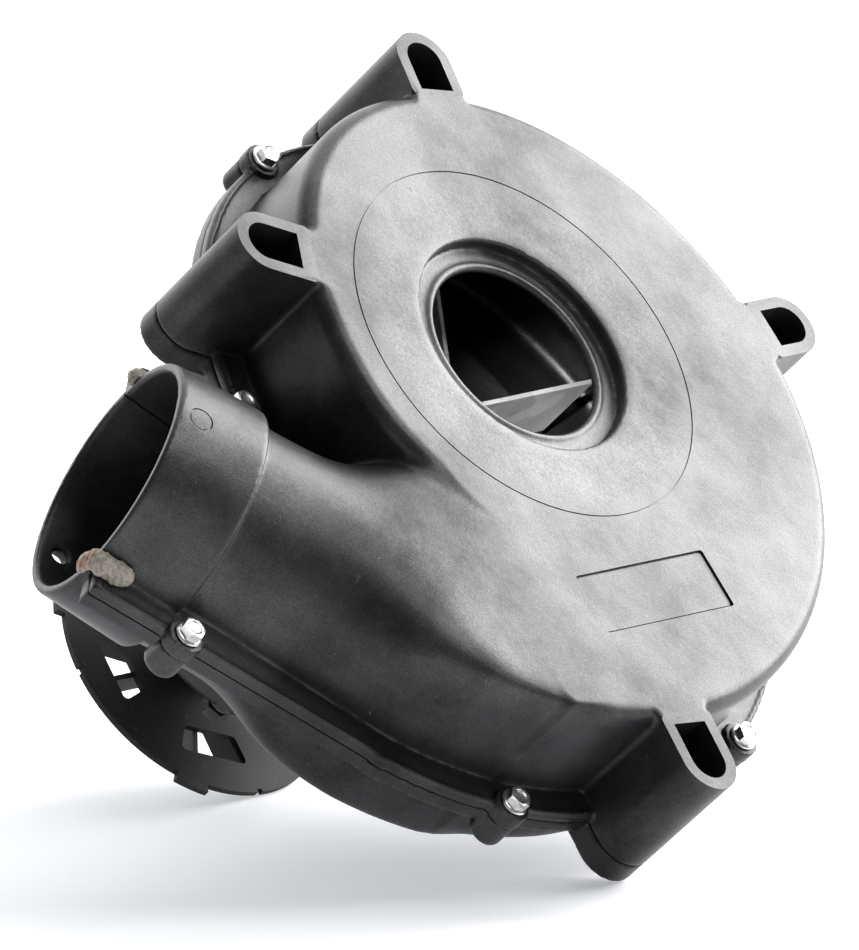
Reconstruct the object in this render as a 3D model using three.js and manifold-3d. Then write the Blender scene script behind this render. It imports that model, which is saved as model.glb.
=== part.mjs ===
// A draft-inducer combustion fan: a two-piece scroll housing, a paddle impeller, and the motor behind it.
//
// Sizes are in millimetres. The origin is the centre of the inlet in the plane of the front face. +Z is the
// shaft axis and points out of the inlet. The outlet pipe points to -X. The motor hangs below the housing.

import * as THREE from "three";
import { mergeVertices } from "three/addons/utils/BufferGeometryUtils.js";
import Module from "manifold-3d";

const wasm = await Module();
wasm.setup();

// ---------------------------------------------------------------- driving dimensions

const GAP = 0.3; // between pieces that touch
const WALL = 3; // moulded housing wall
const FAR = 400; // larger than the whole part

const FACE_Z = 0; // front face, which is also the mounting plane
const PARTING_Z = -42.7; // where the two housing halves meet, and the middle of the outlet
const BACK_Z = -73; // outside of the rear wall

// Outer radius of the scroll wall, every 30 degrees from 270 down to -90, growing clockwise from the tongue.
const SCROLL_STEP = 30;
const SCROLL_START = 270;
const SCROLL_RADII = [74.8, 74.8, 75, 79.7, 86.3, 92, 96.6, 101.4, 107.9, 114.5, 122.3, 132, 139];
const SCROLL_OPENS = -75; // angle where the scroll runs into the outlet duct
const FRONT_ROUND = 5; // rounded edge of the front face
const REAR_ROUND = 11; // rounded edge of the rear wall

const INLET = { recess: 37.2, floor: 5, lip: 32.6, lipTop: 3.5, throat: 29.3, throatStart: 7.5, depth: 13 };

const OUTLET_Y = -100.55;
const PIPE = {
  radius: 38.1, bore: 35.3, boreEnd: 32.4, mouthX: -103.9, shoulderX: -74, shoulderRadius: 39.3,
};
const DRAIN = { x: -96.6, radius: 2.5 }; // a hole through the bottom of the pipe

// The duct swells from the pipe's round section to a square one that is level with the scroll's two faces.
const DUCT = {
  startX: -75, fullX: 2, endX: 40, startRadius: 36, width: 38.1, front: 42.7, rear: 30.3, squareness: 10,
};

const FLANGE = { width: 9, front: 3.4, rear: 5, mouthX: -102 };

const LABEL = { x: 56.9, y: -67, length: 57.7, height: 19.8, angle: 45, depth: 0.6 };

// Four hollow mounting posts: the centre of the round end, the direction, and the slot's reach inwards.
const POST = { radius: 10.3, slot: 6.5, arm: 30, end: -51.6, floor: 3, screwHole: 2.7 };
const POSTS = [
  { x: -50.1, y: 90.9, angle: 124, slotLength: 11 },
  { x: -89.8, y: -23.1, angle: -160, slotLength: 12 },
  { x: 89.6, y: 75.6, angle: 45.8, slotLength: 8.8 },
  { x: 82.5, y: -119.7, angle: -50.4, slotLength: 12.4 },
];

// Housing screws: hex washer-head screws in round bosses on the flange.
const BOSS = { radius: 5.4, disc: 6.8, offset: 8.5, top: -37.2, end: -52.5, hole: 2.1 };
const SCREW = {
  flats: 6.35, head: 3.2, washer: 4.4, washerThickness: 0.9, shank: 1.8, length: 11.4, point: 2,
};
const SCREW_ANGLES = [144.5, 84, 18, -27.3, -73]; // around the scroll
const OUTLET_SCREWS = [
  { x: -71, y: -147.3 },
  { x: -69.3, y: -49.2 },
];

const SHAFT = { radius: 3.17, bore: 3.5, front: -41, end: -182.5 };
const SHAFT_HOLE = 7; // clearance hole in the rear wall

const IMPELLER = {
  radius: 65, bladeRoot: 12, blades: 6, bladeThickness: 1.6, firstBlade: 46,
  front: -36, plate: -64.5, plateThickness: 1.5, hub: 12.5, hubFront: -52, hubEnd: -68, hubBore: 8.3,
};
const INSERT = { radius: 8, front: -44, end: -69 };
const CLIP = { inner: 8.3, outer: 9.8, width: 5 };

const SEAL = { radius: 15, thickness: 2.5, pocket: 15.4, pocketDepth: 1.2 };
const SEAL_RING = { inner: 9, outer: 21, thickness: 1 };
const SLINGER = { radius: 31, hub: 8, z: -84, thickness: 1.2, hubLength: 7, vanes: 8, vaneHeight: 3 };

const MOTOR = { radius: 42, front: -93, bell: 15, stack: 28, wall: 2.4, boltRadius: 37.3, bolts: 4 };
const STACK_FRONT = MOTOR.front - MOTOR.bell - GAP;
const STACK_END = STACK_FRONT - MOTOR.stack;
const MOTOR_END = STACK_END - GAP - MOTOR.bell;
const STATOR = { yoke: 33, bore: 23, poles: 4, poleWidth: 14, firstPole: 45 };
const COIL = { thickness: 4.5, radialInner: 24.6, radialOuter: 30.3, overhang: 0.5 };
const ROTOR = { radius: 22.5, ringRadius: 20, ring: 3 };
const BEARING = { radius: 7.5, length: 11, boss: 11.5 };
const BOLT = { radius: 2, hole: 2.3, flats: 8, head: 3.5, reach: 2 };
const SPACER = { outer: 5, inner: 2.4 };
const VENT = { inner: 17, outer: 28, span: 30, count: 4 };

const FAN = {
  radius: 48.3, z: -174, thickness: 2, hub: 9.5, hubFront: -160, end: -184,
  windows: 5, windowInner: 28, windowOuter: 38, windowSpan: 38, windowAngle: -69,
  blades: 13, bladeInner: 9, bladeOuter: 37.5, bladeThickness: 1.8, bladeAngle: -51.5,
  tabs: 4, tabRadius: 51.2, tabSpan: 13, tabAngle: -81.5, notchRadius: 47.2, notchSpan: 2.4, notchOffset: 31,
};

const LEAD_GLAND = { radius: 5, bore: 2.8, flange: 6.5, angle: 100 };

// ---------------------------------------------------------------- materials

const plastic = (name, color, roughness) =>
  new THREE.MeshStandardMaterial({ name, color, roughness, metalness: 0 });

const metal = (name, color, roughness) =>
  new THREE.MeshStandardMaterial({ name, color, roughness, metalness: 1 });

const MATERIALS = {
  housing: plastic("housing_plastic", 0x3a3a3c, 0.42),
  fan: plastic("fan_plastic", 0x232324, 0.5),
  impeller: metal("impeller_steel", 0x8e9092, 0.45),
  zinc: metal("zinc_plate", 0xd2d4d6, 0.28),
  steel: metal("machined_steel", 0xa9abad, 0.3),
  paint: plastic("motor_paint", 0x1b1b1c, 0.5),
  laminations: metal("laminated_steel", 0x5b5c5e, 0.5),
  copper: metal("enamelled_copper", 0xa4532a, 0.4),
  bronze: metal("bearing_bronze", 0xb08a4a, 0.45),
  felt: plastic("seal_felt", 0x6d675c, 0.95),
  rubber: plastic("gland_rubber", 0x171717, 0.8),
  sealant: plastic("sealant", 0x9a8f80, 0.7),
};

// ---------------------------------------------------------------- geometry helpers

const radians = THREE.MathUtils.degToRad;

const polar = (radius, angle) =>
  new THREE.Vector2(radius * Math.cos(radians(angle)), radius * Math.sin(radians(angle)));

// A three.js geometry as a manifold-3d solid, turned to face outwards. Coordinates are rounded to a
// thousandth, so faces that are meant to lie in one plane do.
function solid(geometry) {
  const bare = geometry.clone();
  bare.deleteAttribute("normal");
  bare.deleteAttribute("uv");
  bare.attributes.position.array.forEach((value, index, array) => {
    array[index] = Math.round(value * 1000) / 1000;
  });
  const merged = mergeVertices(bare, 1e-4);
  const vertProperties = merged.attributes.position.array;
  const triVerts = new Uint32Array(merged.index.array);
  const made = new wasm.Manifold(new wasm.Mesh({ numProp: 3, vertProperties, triVerts }));
  if (made.volume() >= 0) return made;
  triVerts.reverse();
  return new wasm.Manifold(new wasm.Mesh({ numProp: 3, vertProperties, triVerts }));
}

// A manifold-3d solid as a three.js geometry.
function geometryOf(made) {
  const mesh = made.getMesh();
  const geometry = new THREE.BufferGeometry();
  geometry.setAttribute("position", new THREE.BufferAttribute(mesh.vertProperties, 3));
  geometry.setIndex(new THREE.BufferAttribute(mesh.triVerts, 1));
  geometry.computeVertexNormals();
  return geometry;
}

const join = (pieces) => pieces.reduce((whole, piece) => whole.add(piece));
const cut = (body, tools) => tools.reduce((rest, tool) => rest.subtract(tool), body);

// A shape in the XY plane, extruded from lowZ to highZ, with rounded edges when round is above zero.
function prism(shape, lowZ, highZ, round = 0, roundSteps = 3) {
  const geometry = new THREE.ExtrudeGeometry(shape, {
    depth: highZ - lowZ - 2 * round,
    bevelEnabled: round > 0,
    bevelThickness: round,
    bevelSize: round,
    bevelOffset: -round,
    bevelSegments: roundSteps,
    curveSegments: 5,
  });
  geometry.translate(0, 0, lowZ + round);
  return solid(geometry);
}

// A closed [radius, height] profile turned around Z.
function revolve(profile, segments = 24) {
  const points = profile.map(([radius, height]) => new THREE.Vector2(radius, height));
  points.push(points[0].clone());
  const geometry = new THREE.LatheGeometry(points, segments);
  geometry.rotateX(Math.PI / 2);
  return solid(geometry);
}

const cylinder = (radius, lowZ, highZ, segments = 24) =>
  revolve([[0, lowZ], [radius, lowZ], [radius, highZ], [0, highZ]], segments);

const tube = (inner, outer, lowZ, highZ, segments = 24) =>
  revolve([[inner, lowZ], [outer, lowZ], [outer, highZ], [inner, highZ]], segments);

function box(lowX, highX, lowY, highY, lowZ, highZ) {
  const geometry = new THREE.BoxGeometry(highX - lowX, highY - lowY, highZ - lowZ);
  geometry.translate((lowX + highX) / 2, (lowY + highY) / 2, (lowZ + highZ) / 2);
  return solid(geometry);
}

const turned = (made, angle) => made.rotate([0, 0, angle]);
const above = (z) => box(-FAR, FAR, -FAR, FAR, z, FAR);
const below = (z) => box(-FAR, FAR, -FAR, FAR, -FAR, z);

// Copies of a solid spread evenly around Z.
const ring = (made, count, firstAngle = 0) =>
  Array.from({ length: count }, (_, index) => turned(made, firstAngle + (index * 360) / count));

// A sector of a ring as a flat shape.
function sector(inner, outer, startAngle, span) {
  const steps = Math.ceil(span / 12);
  const arc = (radius) =>
    Array.from({ length: steps + 1 }, (_, index) => polar(radius, startAngle + (span * index) / steps));
  return new THREE.Shape([...arc(outer), ...arc(inner).reverse()]);
}

function hexagon(flats) {
  const corners = Array.from({ length: 6 }, (_, index) => polar(flats / Math.sqrt(3), 60 * index));
  return new THREE.Shape(corners);
}

// ---------------------------------------------------------------- scroll housing

const scrollCurve = new THREE.SplineCurve(
  SCROLL_RADII.map((radius, index) => new THREE.Vector2(index, radius)),
);

const scrollRadius = (angle) =>
  scrollCurve.getPoint((SCROLL_START - angle) / SCROLL_STEP / (SCROLL_RADII.length - 1)).y;

// The snail-shaped outline of the scroll wall, moved outwards by offset.
function scrollOutline(offset, endAngle = SCROLL_OPENS) {
  const steps = 44;
  const points = [];
  for (let index = 0; index <= steps; index++) {
    const angle = THREE.MathUtils.lerp(SCROLL_START, endAngle, index / steps);
    points.push(polar(scrollRadius(angle) + offset, angle));
  }
  return new THREE.Shape(points);
}

// The duct between the pipe and the scroll: round at the pipe and square at the scroll, where it bends with
// the wall. Its outer front edge stays round for longer than the others.
function duct(inset) {
  const { smoothstep, lerp } = THREE.MathUtils;
  const geometry = new THREE.CylinderGeometry(1, 1, 1, 32, 8);
  const position = geometry.attributes.position;
  for (let index = 0; index < position.count; index++) {
    const across = position.getX(index);
    const up = position.getZ(index);
    const size = Math.hypot(across, up);
    const x = lerp(DUCT.startX, DUCT.endX, position.getY(index) + 0.5);
    const grown = smoothstep(x, DUCT.startX, DUCT.fullX);
    const width = lerp(DUCT.startRadius, DUCT.width, grown) - inset;
    const height = lerp(DUCT.startRadius, up > 0 ? DUCT.front : DUCT.rear, grown) - inset;
    const outerFront = up > 0 && across < 0;
    const squared = outerFront ? smoothstep(x, DUCT.startX, DUCT.endX) ** 3 : grown ** 4;
    const power = 2 + DUCT.squareness * squared;
    const reach = Math.abs(across / width) ** power + Math.abs(up / height) ** power;
    const stretch = size < 0.5 ? 0 : reach ** (-1 / power);
    const bend = x < 0 ? 0 : 0.06 * x + 0.0044 * x * x;
    position.setXYZ(index, x, OUTLET_Y + bend + across * stretch, PARTING_Z + up * stretch);
  }
  return solid(geometry);
}

// Moves a solid that was made around Z onto the outlet's axis, with its +Z pointing to +X.
const ontoOutlet = (made) => made.rotate([0, 90, 0]).translate([0, OUTLET_Y, PARTING_Z]);

function outletPipe() {
  return ontoOutlet(revolve([
    [0, PIPE.mouthX], [PIPE.radius, PIPE.mouthX], [PIPE.shoulderRadius, PIPE.shoulderX - 1],
    [PIPE.shoulderRadius - 1, PIPE.shoulderX], [0, PIPE.shoulderX],
  ], 40));
}

function outletBore() {
  return ontoOutlet(revolve([
    [0, PIPE.mouthX - 1], [PIPE.bore, PIPE.mouthX - 1], [PIPE.bore, PIPE.mouthX],
    [PIPE.boreEnd, DUCT.startX + 1], [0, DUCT.startX + 1],
  ], 40));
}

// A post's outline: a round end and straight sides that run towards the scroll for armLength.
function postOutline(radius, armLength) {
  const shape = new THREE.Shape();
  shape.absarc(0, 0, radius, -Math.PI / 2, Math.PI / 2, false);
  shape.lineTo(-armLength, radius);
  shape.lineTo(-armLength, -radius);
  shape.closePath();
  return shape;
}

const atPost = (post, made) => turned(made, post.angle).translate([post.x, post.y, 0]);

const postBodies = () =>
  POSTS.map((post) => atPost(post, prism(postOutline(POST.radius, POST.arm), POST.end, FACE_Z)));

const postSlots = (grow, lowZ, highZ) => POSTS.map((post) => {
  const outline = postOutline(POST.slot + grow, post.slotLength + grow);
  return atPost(post, prism(outline, lowZ, highZ));
});

const screwPlaces = [
  ...SCREW_ANGLES.map((angle) => polar(scrollRadius(angle) + BOSS.offset, angle)),
  ...OUTLET_SCREWS,
];

const atScrews = (made) => screwPlaces.map(({ x, y }) => made.translate([x, y, 0]));

// Flange around the joint between lowZ and highZ.
function flange(lowZ, highZ) {
  const { width, mouthX } = FLANGE;
  const sideways = PIPE.radius + width;
  return join([
    prism(scrollOutline(width, -90), lowZ, highZ),
    box(mouthX, 0, OUTLET_Y - sideways, OUTLET_Y + sideways, lowZ, highZ),
    ...atScrews(cylinder(BOSS.disc, lowZ, highZ, 12)),
  ]);
}

// The air space of both halves: scroll, duct and pipe, left whole around the mounting slots.
function airSpace() {
  const scroll = prism(scrollOutline(-WALL), BACK_Z + WALL, FACE_Z - WALL, 3, 1);
  return cut(join([scroll, duct(WALL), outletBore()]), postSlots(2.2, BACK_Z, FACE_Z));
}

function inletRing() {
  const { recess, lip, throat, depth } = INLET;
  return tube(throat - 1, (recess + lip) / 2, FACE_Z - depth, FACE_Z - WALL, 40);
}

// The recess around the inlet, with a lip that rolls over into the throat.
function inletCut() {
  const { recess, floor, lip, lipTop, throat, throatStart } = INLET;
  return revolve([
    [0, FACE_Z + 1], [recess, FACE_Z + 1], [recess, FACE_Z - floor], [recess - 1.6, FACE_Z - floor],
    [lip, FACE_Z - lipTop], [lip - 1.5, FACE_Z - lipTop - 0.7], [throat, FACE_Z - throatStart],
    [throat, -FAR / 4], [0, -FAR / 4],
  ], 40);
}

// A floor under the recess keeps the wall whole below it.
const recessBacking = () =>
  tube(INLET.throat - 2, INLET.recess + WALL, FACE_Z - INLET.floor - WALL, FACE_Z - WALL, 40);

function labelPocket() {
  const { x, y, length, height, angle, depth } = LABEL;
  const pocket = box(-length / 2, length / 2, -height / 2, height / 2, FACE_Z - depth, FACE_Z + 1);
  return turned(pocket, angle).translate([x, y, 0]);
}

function frontHousing() {
  const outside = join([
    prism(scrollOutline(0), PARTING_Z - 20, FACE_Z, FRONT_ROUND),
    duct(0),
    outletPipe(),
    flange(PARTING_Z, PARTING_Z + FLANGE.front),
    ...atScrews(cylinder(BOSS.radius, PARTING_Z, BOSS.top, 12)),
    ...postBodies(),
  ]);
  const hollow = cut(outside, [airSpace()]);
  const withInlet = join([hollow, recessBacking(), inletRing()]);
  return cut(withInlet, [
    inletCut(),
    labelPocket(),
    ...postSlots(0, -FAR, FAR),
    ...atScrews(cylinder(BOSS.hole, PARTING_Z - 1, BOSS.top + 1, 8)),
    below(PARTING_Z + GAP / 2),
  ]);
}

const motorBoltPlaces = Array.from({ length: MOTOR.bolts }, (_, index) =>
  polar(MOTOR.boltRadius, (index * 360) / MOTOR.bolts));

const atBolts = (made) => motorBoltPlaces.map(({ x, y }) => made.translate([x, y, 0]));

function rearHousing() {
  const outside = join([
    prism(scrollOutline(0), BACK_Z, PARTING_Z + 20, REAR_ROUND),
    duct(0),
    outletPipe(),
    flange(PARTING_Z - FLANGE.rear, PARTING_Z),
    ...atScrews(cylinder(BOSS.radius, BOSS.end, PARTING_Z, 12)),
    ...postBodies(),
  ]);
  const boltPads = atBolts(cylinder(SPACER.outer + 2.5, BACK_Z - 2, BACK_Z + WALL, 20));
  const hollow = join([cut(outside, [airSpace()]), ...boltPads]);
  return cut(hollow, [
    cylinder(SHAFT_HOLE, -FAR, FAR, 24),
    cylinder(SEAL.pocket, -FAR, BACK_Z + SEAL.pocketDepth),
    ...postSlots(0, POST.end + POST.floor, FAR),
    ...POSTS.map((post) => cylinder(POST.screwHole, -FAR, FAR, 16).translate([post.x, post.y, 0])),
    ...atScrews(cylinder(BOSS.hole, BOSS.end + WALL, FAR, 8)),
    ...atBolts(cylinder(BOLT.hole, -FAR, FAR, 12)),
    cylinder(DRAIN.radius, -FAR, FAR, 16).translate([DRAIN.x, OUTLET_Y, 0]),
    above(PARTING_Z - GAP / 2),
  ]);
}

// A hex washer-head screw seated at the origin, pointing down.
function housingScrew() {
  const { flats, head, washer, washerThickness, shank, length, point } = SCREW;
  return join([
    prism(hexagon(flats), washerThickness / 2, washerThickness + head),
    cylinder(washer, 0, washerThickness, 20),
    revolve([[0, 0.1], [shank, 0.1], [shank, point - length], [0, -length]], 8),
  ]);
}

// A smear of sealant over the joint and the pipe's rim, on the side that sideways points to.
function sealantDab(sideways) {
  const smear = new THREE.SphereGeometry(1, 14, 8);
  smear.scale(6, 5, 5);
  smear.translate(PIPE.mouthX + 4, OUTLET_Y + sideways * (PIPE.radius + 0.5), PARTING_Z + FLANGE.front + 1);
  const rib = box(-FAR, FAR, -FAR, FAR, -FAR, PARTING_Z + FLANGE.front + GAP);
  const pipe = ontoOutlet(cylinder(PIPE.shoulderRadius + GAP, PIPE.mouthX - GAP, FAR, 64));
  return cut(solid(smear), [rib, pipe]);
}

// ---------------------------------------------------------------- rotating group

function impeller() {
  const { radius, bladeRoot, blades, bladeThickness, firstBlade, front, plate, plateThickness } = IMPELLER;
  const { hub, hubFront, hubEnd, hubBore } = IMPELLER;
  const blade = box(bladeRoot - 1, radius, -bladeThickness / 2, bladeThickness / 2, plate - 0.2, front)
    .subtract(box(-FAR, hub + 1, -FAR, FAR, hubFront, FAR));
  return cut(join([
    cylinder(radius, plate - plateThickness, plate, 40),
    cylinder(hub, hubEnd, hubFront),
    ...ring(blade, blades, firstBlade),
  ]), [cylinder(hubBore, -FAR, FAR, 24)]);
}

const impellerInsert = () => tube(SHAFT.bore, INSERT.radius, INSERT.end, INSERT.front, 24);

// A split spring band, open on one side.
function springBand(inner, outer, lowZ, highZ) {
  const opening = 24;
  return prism(sector(inner, outer, opening / 2, 360 - opening), lowZ, highZ);
}

const impellerClip = () =>
  springBand(CLIP.inner, CLIP.outer, INSERT.front - CLIP.width - 1, INSERT.front - 1);

const motorShaft = () => cylinder(SHAFT.radius, SHAFT.end, SHAFT.front, 20);

function heatSlinger() {
  const { radius, hub, z, thickness, hubLength, vanes, vaneHeight } = SLINGER;
  const vane = box(hub - 1, radius - 2, -thickness / 2, thickness / 2, z - 0.2, z + vaneHeight);
  return cut(join([
    cylinder(radius, z - thickness, z, 32),
    cylinder(hub, z - hubLength + vaneHeight, z + vaneHeight, 24),
    ...ring(vane, vanes),
  ]), [cylinder(SHAFT.bore, -FAR, FAR, 20)]);
}

function rotorCore() {
  const { radius, ringRadius, ring: endRing } = ROTOR;
  return revolve([
    [SHAFT.bore, STACK_FRONT + endRing], [ringRadius, STACK_FRONT + endRing], [ringRadius, STACK_FRONT],
    [radius, STACK_FRONT], [radius, STACK_END], [ringRadius, STACK_END],
    [ringRadius, STACK_END - endRing], [SHAFT.bore, STACK_END - endRing],
  ], 28);
}

// The fan on the motor's rear shaft end: a disc with windows, a tabbed rim, and blades on its far side.
function coolingFan() {
  const { radius, z, thickness, hub, hubFront, end } = FAN;
  const { windows, windowInner, windowOuter, windowSpan, windowAngle } = FAN;
  const { blades, bladeInner, bladeOuter, bladeThickness, bladeAngle } = FAN;
  const { tabs, tabRadius, tabSpan, tabAngle, notchRadius, notchSpan, notchOffset } = FAN;
  const tab = prism(sector(radius - 2, tabRadius, -tabSpan / 2, tabSpan), z - thickness, z);
  const notch = prism(sector(notchRadius, radius + 2, -notchSpan / 2, notchSpan), -FAR, FAR);
  const windowShape = sector(windowInner, windowOuter, -windowSpan / 2, windowSpan);
  const window = prism(windowShape, z - thickness - 1, z + 1);
  const bladeSide = bladeThickness / 2;
  const blade = box(bladeInner - 1, bladeOuter, -bladeSide, bladeSide, end, z - thickness / 2);
  const disc = cut(join([cylinder(radius, z - thickness, z, 48), ...ring(tab, tabs, tabAngle)]), [
    ...ring(notch, tabs, tabAngle + notchOffset),
    ...ring(window, windows, windowAngle),
  ]);
  const cone = revolve([[0, hubFront], [hub, hubFront], [hub, z + 4], [hub + 9, z - 0.5], [0, z - 0.5]]);
  return cut(join([disc, cone, cylinder(hub, end, z), ...ring(blade, blades, bladeAngle)]), [
    cylinder(SHAFT.bore, -FAR, FAR, 20),
  ]);
}

const fanClip = () =>
  springBand(FAN.hub + GAP, FAN.hub + 1.6, FAN.hubFront - 6, FAN.hubFront - 1);

// ---------------------------------------------------------------- shaft seal and motor

const shaftSeal = () =>
  tube(SHAFT.bore + GAP, SEAL.radius, BACK_Z + SEAL.pocketDepth - GAP - SEAL.thickness,
    BACK_Z + SEAL.pocketDepth - GAP);

function sealRing() {
  const top = BACK_Z + SEAL.pocketDepth - 2 * GAP - SEAL.thickness;
  return tube(SEAL_RING.inner, SEAL_RING.outer, top - SEAL_RING.thickness, top);
}

// An end bell as a cup that opens towards -Z, closed by its end plate at z = 0.
function endBell() {
  const { radius, wall, bell, boltRadius } = MOTOR;
  const cup = revolve([
    [0, 0], [radius - 5, 0], [radius, -5], [radius, -bell], [radius - wall, -bell],
    [radius - wall, -6], [radius - 5 - wall / 2, -wall], [0, -wall],
  ], 32);
  const boss = cylinder(BEARING.boss, -BEARING.length, 2, 24);
  const column = cylinder(BOLT.hole + 2.2, -bell, -wall / 2, 12).translate([boltRadius, 0, 0]);
  const vent = prism(sector(VENT.inner, VENT.outer, -VENT.span / 2, VENT.span), -wall - 1, 1);
  return cut(join([cup, boss, ...ring(column, MOTOR.bolts)]), [
    ...ring(vent, VENT.count, STATOR.firstPole),
    cylinder(BEARING.radius + GAP, -FAR, FAR, 24),
    ...atBolts(cylinder(BOLT.hole, -FAR, FAR, 12)),
  ]);
}

const frontEndBell = () => endBell().translate([0, 0, MOTOR.front]);

// The rear bell is the same cup turned over, with a hole in its side for the leads.
function rearEndBell() {
  const leadHole = cylinder(LEAD_GLAND.radius + GAP, 0, FAR, 20)
    .rotate([0, 90, LEAD_GLAND.angle])
    .translate([0, 0, MOTOR_END + MOTOR.bell / 2 + 1]);
  return endBell().mirror([0, 0, 1]).translate([0, 0, MOTOR_END]).subtract(leadHole);
}

const bearing = (highZ) => tube(SHAFT.bore, BEARING.radius, highZ - BEARING.length, highZ, 24);

// The laminated stack: a ring with salient poles, bored for the rotor.
function statorCore() {
  const { yoke, bore, poles, poleWidth, firstPole } = STATOR;
  const pole = box(bore - 1, yoke + 2, -poleWidth / 2, poleWidth / 2, STACK_END, STACK_FRONT);
  const shoe = prism(sector(bore, bore + 1.1, -32, 64), STACK_END, STACK_FRONT);
  return cut(join([
    tube(yoke, MOTOR.radius - 0.5, STACK_END, STACK_FRONT, 32),
    ...ring(pole, poles, firstPole),
    ...ring(shoe, poles, firstPole),
  ]), [
    cylinder(bore, -FAR, FAR, 32),
    ...atBolts(cylinder(BOLT.hole, -FAR, FAR, 12)),
  ]);
}

// A winding: a rectangular loop around one pole.
function coil() {
  const { thickness, radialInner, radialOuter, overhang } = COIL;
  const inside = STATOR.poleWidth / 2 + GAP;
  const outside = inside + thickness;
  const lowZ = STACK_END - overhang;
  const highZ = STACK_FRONT + overhang;
  return box(radialInner, radialOuter, -outside, outside, lowZ - thickness, highZ + thickness)
    .subtract(box(0, FAR, -inside, inside, lowZ, highZ));
}

// A through bolt: its hex head is behind the motor and its tip ends in the rear wall of the housing.
function throughBolt() {
  const { radius, flats, head, reach } = BOLT;
  const seat = MOTOR_END - GAP;
  return join([
    prism(hexagon(flats), seat - head, seat),
    cylinder(radius, seat - 0.1, BACK_Z + reach, 16),
  ]);
}

const spacer = () => tube(SPACER.inner, SPACER.outer, MOTOR.front + GAP, BACK_Z - 2 - GAP, 24);

function leadGland() {
  const { radius, bore, flange: collar, angle } = LEAD_GLAND;
  const start = MOTOR.radius - MOTOR.wall - 1.5;
  const face = MOTOR.radius + GAP;
  return revolve([
    [bore, start], [radius, start], [radius, face], [collar, face + 0.6], [collar, face + 2],
    [bore + 1.4, face + 7], [bore, face + 7],
  ], 20)
    .rotate([0, 90, angle])
    .translate([0, 0, MOTOR_END + MOTOR.bell / 2 + 1]);
}

// ---------------------------------------------------------------- assembly

const fan = new THREE.Group();

function add(name, made, material, parent = fan) {
  const mesh = new THREE.Mesh(geometryOf(made), material);
  mesh.name = name;
  parent.add(mesh);
  return mesh;
}

add("front_housing", frontHousing(), MATERIALS.housing);
add("rear_housing", rearHousing(), MATERIALS.housing);
add("sealant_outer", sealantDab(-1), MATERIALS.sealant);
add("sealant_inner", sealantDab(1), MATERIALS.sealant);

screwPlaces.forEach(({ x, y }, index) => {
  const screw = add(`housing_screw_${index + 1}`, housingScrew(), MATERIALS.zinc);
  screw.position.set(x, y, BOSS.top + GAP);
});

const rotor = new THREE.Group();
fan.add(rotor);
add("motor_shaft", motorShaft(), MATERIALS.steel, rotor);
add("impeller", impeller(), MATERIALS.impeller, rotor);
add("impeller_insert", impellerInsert(), MATERIALS.steel, rotor);
add("impeller_clip", impellerClip(), MATERIALS.zinc, rotor);
add("heat_slinger", heatSlinger(), MATERIALS.zinc, rotor);
add("rotor_core", rotorCore(), MATERIALS.laminations, rotor);
add("cooling_fan", coolingFan(), MATERIALS.fan, rotor);
add("fan_clip", fanClip(), MATERIALS.zinc, rotor);

add("shaft_seal", shaftSeal(), MATERIALS.felt);
add("seal_ring", sealRing(), MATERIALS.zinc);
add("front_end_bell", frontEndBell(), MATERIALS.paint);
add("rear_end_bell", rearEndBell(), MATERIALS.paint);
add("front_bearing", bearing(MOTOR.front + 1), MATERIALS.bronze);
add("rear_bearing", bearing(MOTOR_END + BEARING.length - 1), MATERIALS.bronze);
add("stator_core", statorCore(), MATERIALS.laminations);
add("lead_gland", leadGland(), MATERIALS.rubber);

for (let index = 0; index < STATOR.poles; index++) {
  const winding = add(`coil_${index + 1}`, coil(), MATERIALS.copper);
  winding.rotation.z = radians(STATOR.firstPole + index * (360 / STATOR.poles));
}

motorBoltPlaces.forEach(({ x, y }, index) => {
  const bolt = add(`through_bolt_${index + 1}`, throughBolt(), MATERIALS.zinc);
  bolt.position.set(x, y, 0);
  const sleeve = add(`motor_spacer_${index + 1}`, spacer(), MATERIALS.steel);
  sleeve.position.set(x, y, 0);
});

export default fan;
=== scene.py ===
import math

import bmesh
import bpy
import numpy as np
from mathutils import Matrix, Vector


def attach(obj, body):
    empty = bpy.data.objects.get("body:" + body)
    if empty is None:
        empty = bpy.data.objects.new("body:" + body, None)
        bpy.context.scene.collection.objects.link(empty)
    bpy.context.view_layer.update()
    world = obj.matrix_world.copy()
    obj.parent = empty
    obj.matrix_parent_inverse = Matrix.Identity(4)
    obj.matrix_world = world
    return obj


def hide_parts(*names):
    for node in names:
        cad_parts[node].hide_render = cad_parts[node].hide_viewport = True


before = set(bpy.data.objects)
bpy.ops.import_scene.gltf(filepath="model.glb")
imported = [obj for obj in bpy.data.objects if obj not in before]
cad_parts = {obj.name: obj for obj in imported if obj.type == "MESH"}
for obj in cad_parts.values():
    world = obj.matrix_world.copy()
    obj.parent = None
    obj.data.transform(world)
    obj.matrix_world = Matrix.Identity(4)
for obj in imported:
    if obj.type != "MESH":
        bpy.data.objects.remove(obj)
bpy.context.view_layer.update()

# Lengths are in millimetres unless a name says metres, and turn into metres when a mesh is stored.
MM = 0.001
HOUSING = "housing_and_motor"
ROTOR = "rotor"

# ------------------------------------------------------------ sizes of the housing, mostly as in the CAD part

GAP = 0.3
SEAM = 0.05
WALL = 3.0
PARTING_Z = -42.7
BACK_Z = -73.0
FRONT_ROUND = 5.0
REAR_ROUND = 11.0
AIR_REAR_ROUND = 5.0

SCROLL_START = 270.0
SCROLL_STEP = 30.0
SCROLL_OPENS = -75.0
SCROLL_RADII = [74.8, 74.8, 75, 79.7, 86.3, 92, 96.6, 101.4, 107.9, 114.5, 122.3, 132, 139]

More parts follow.
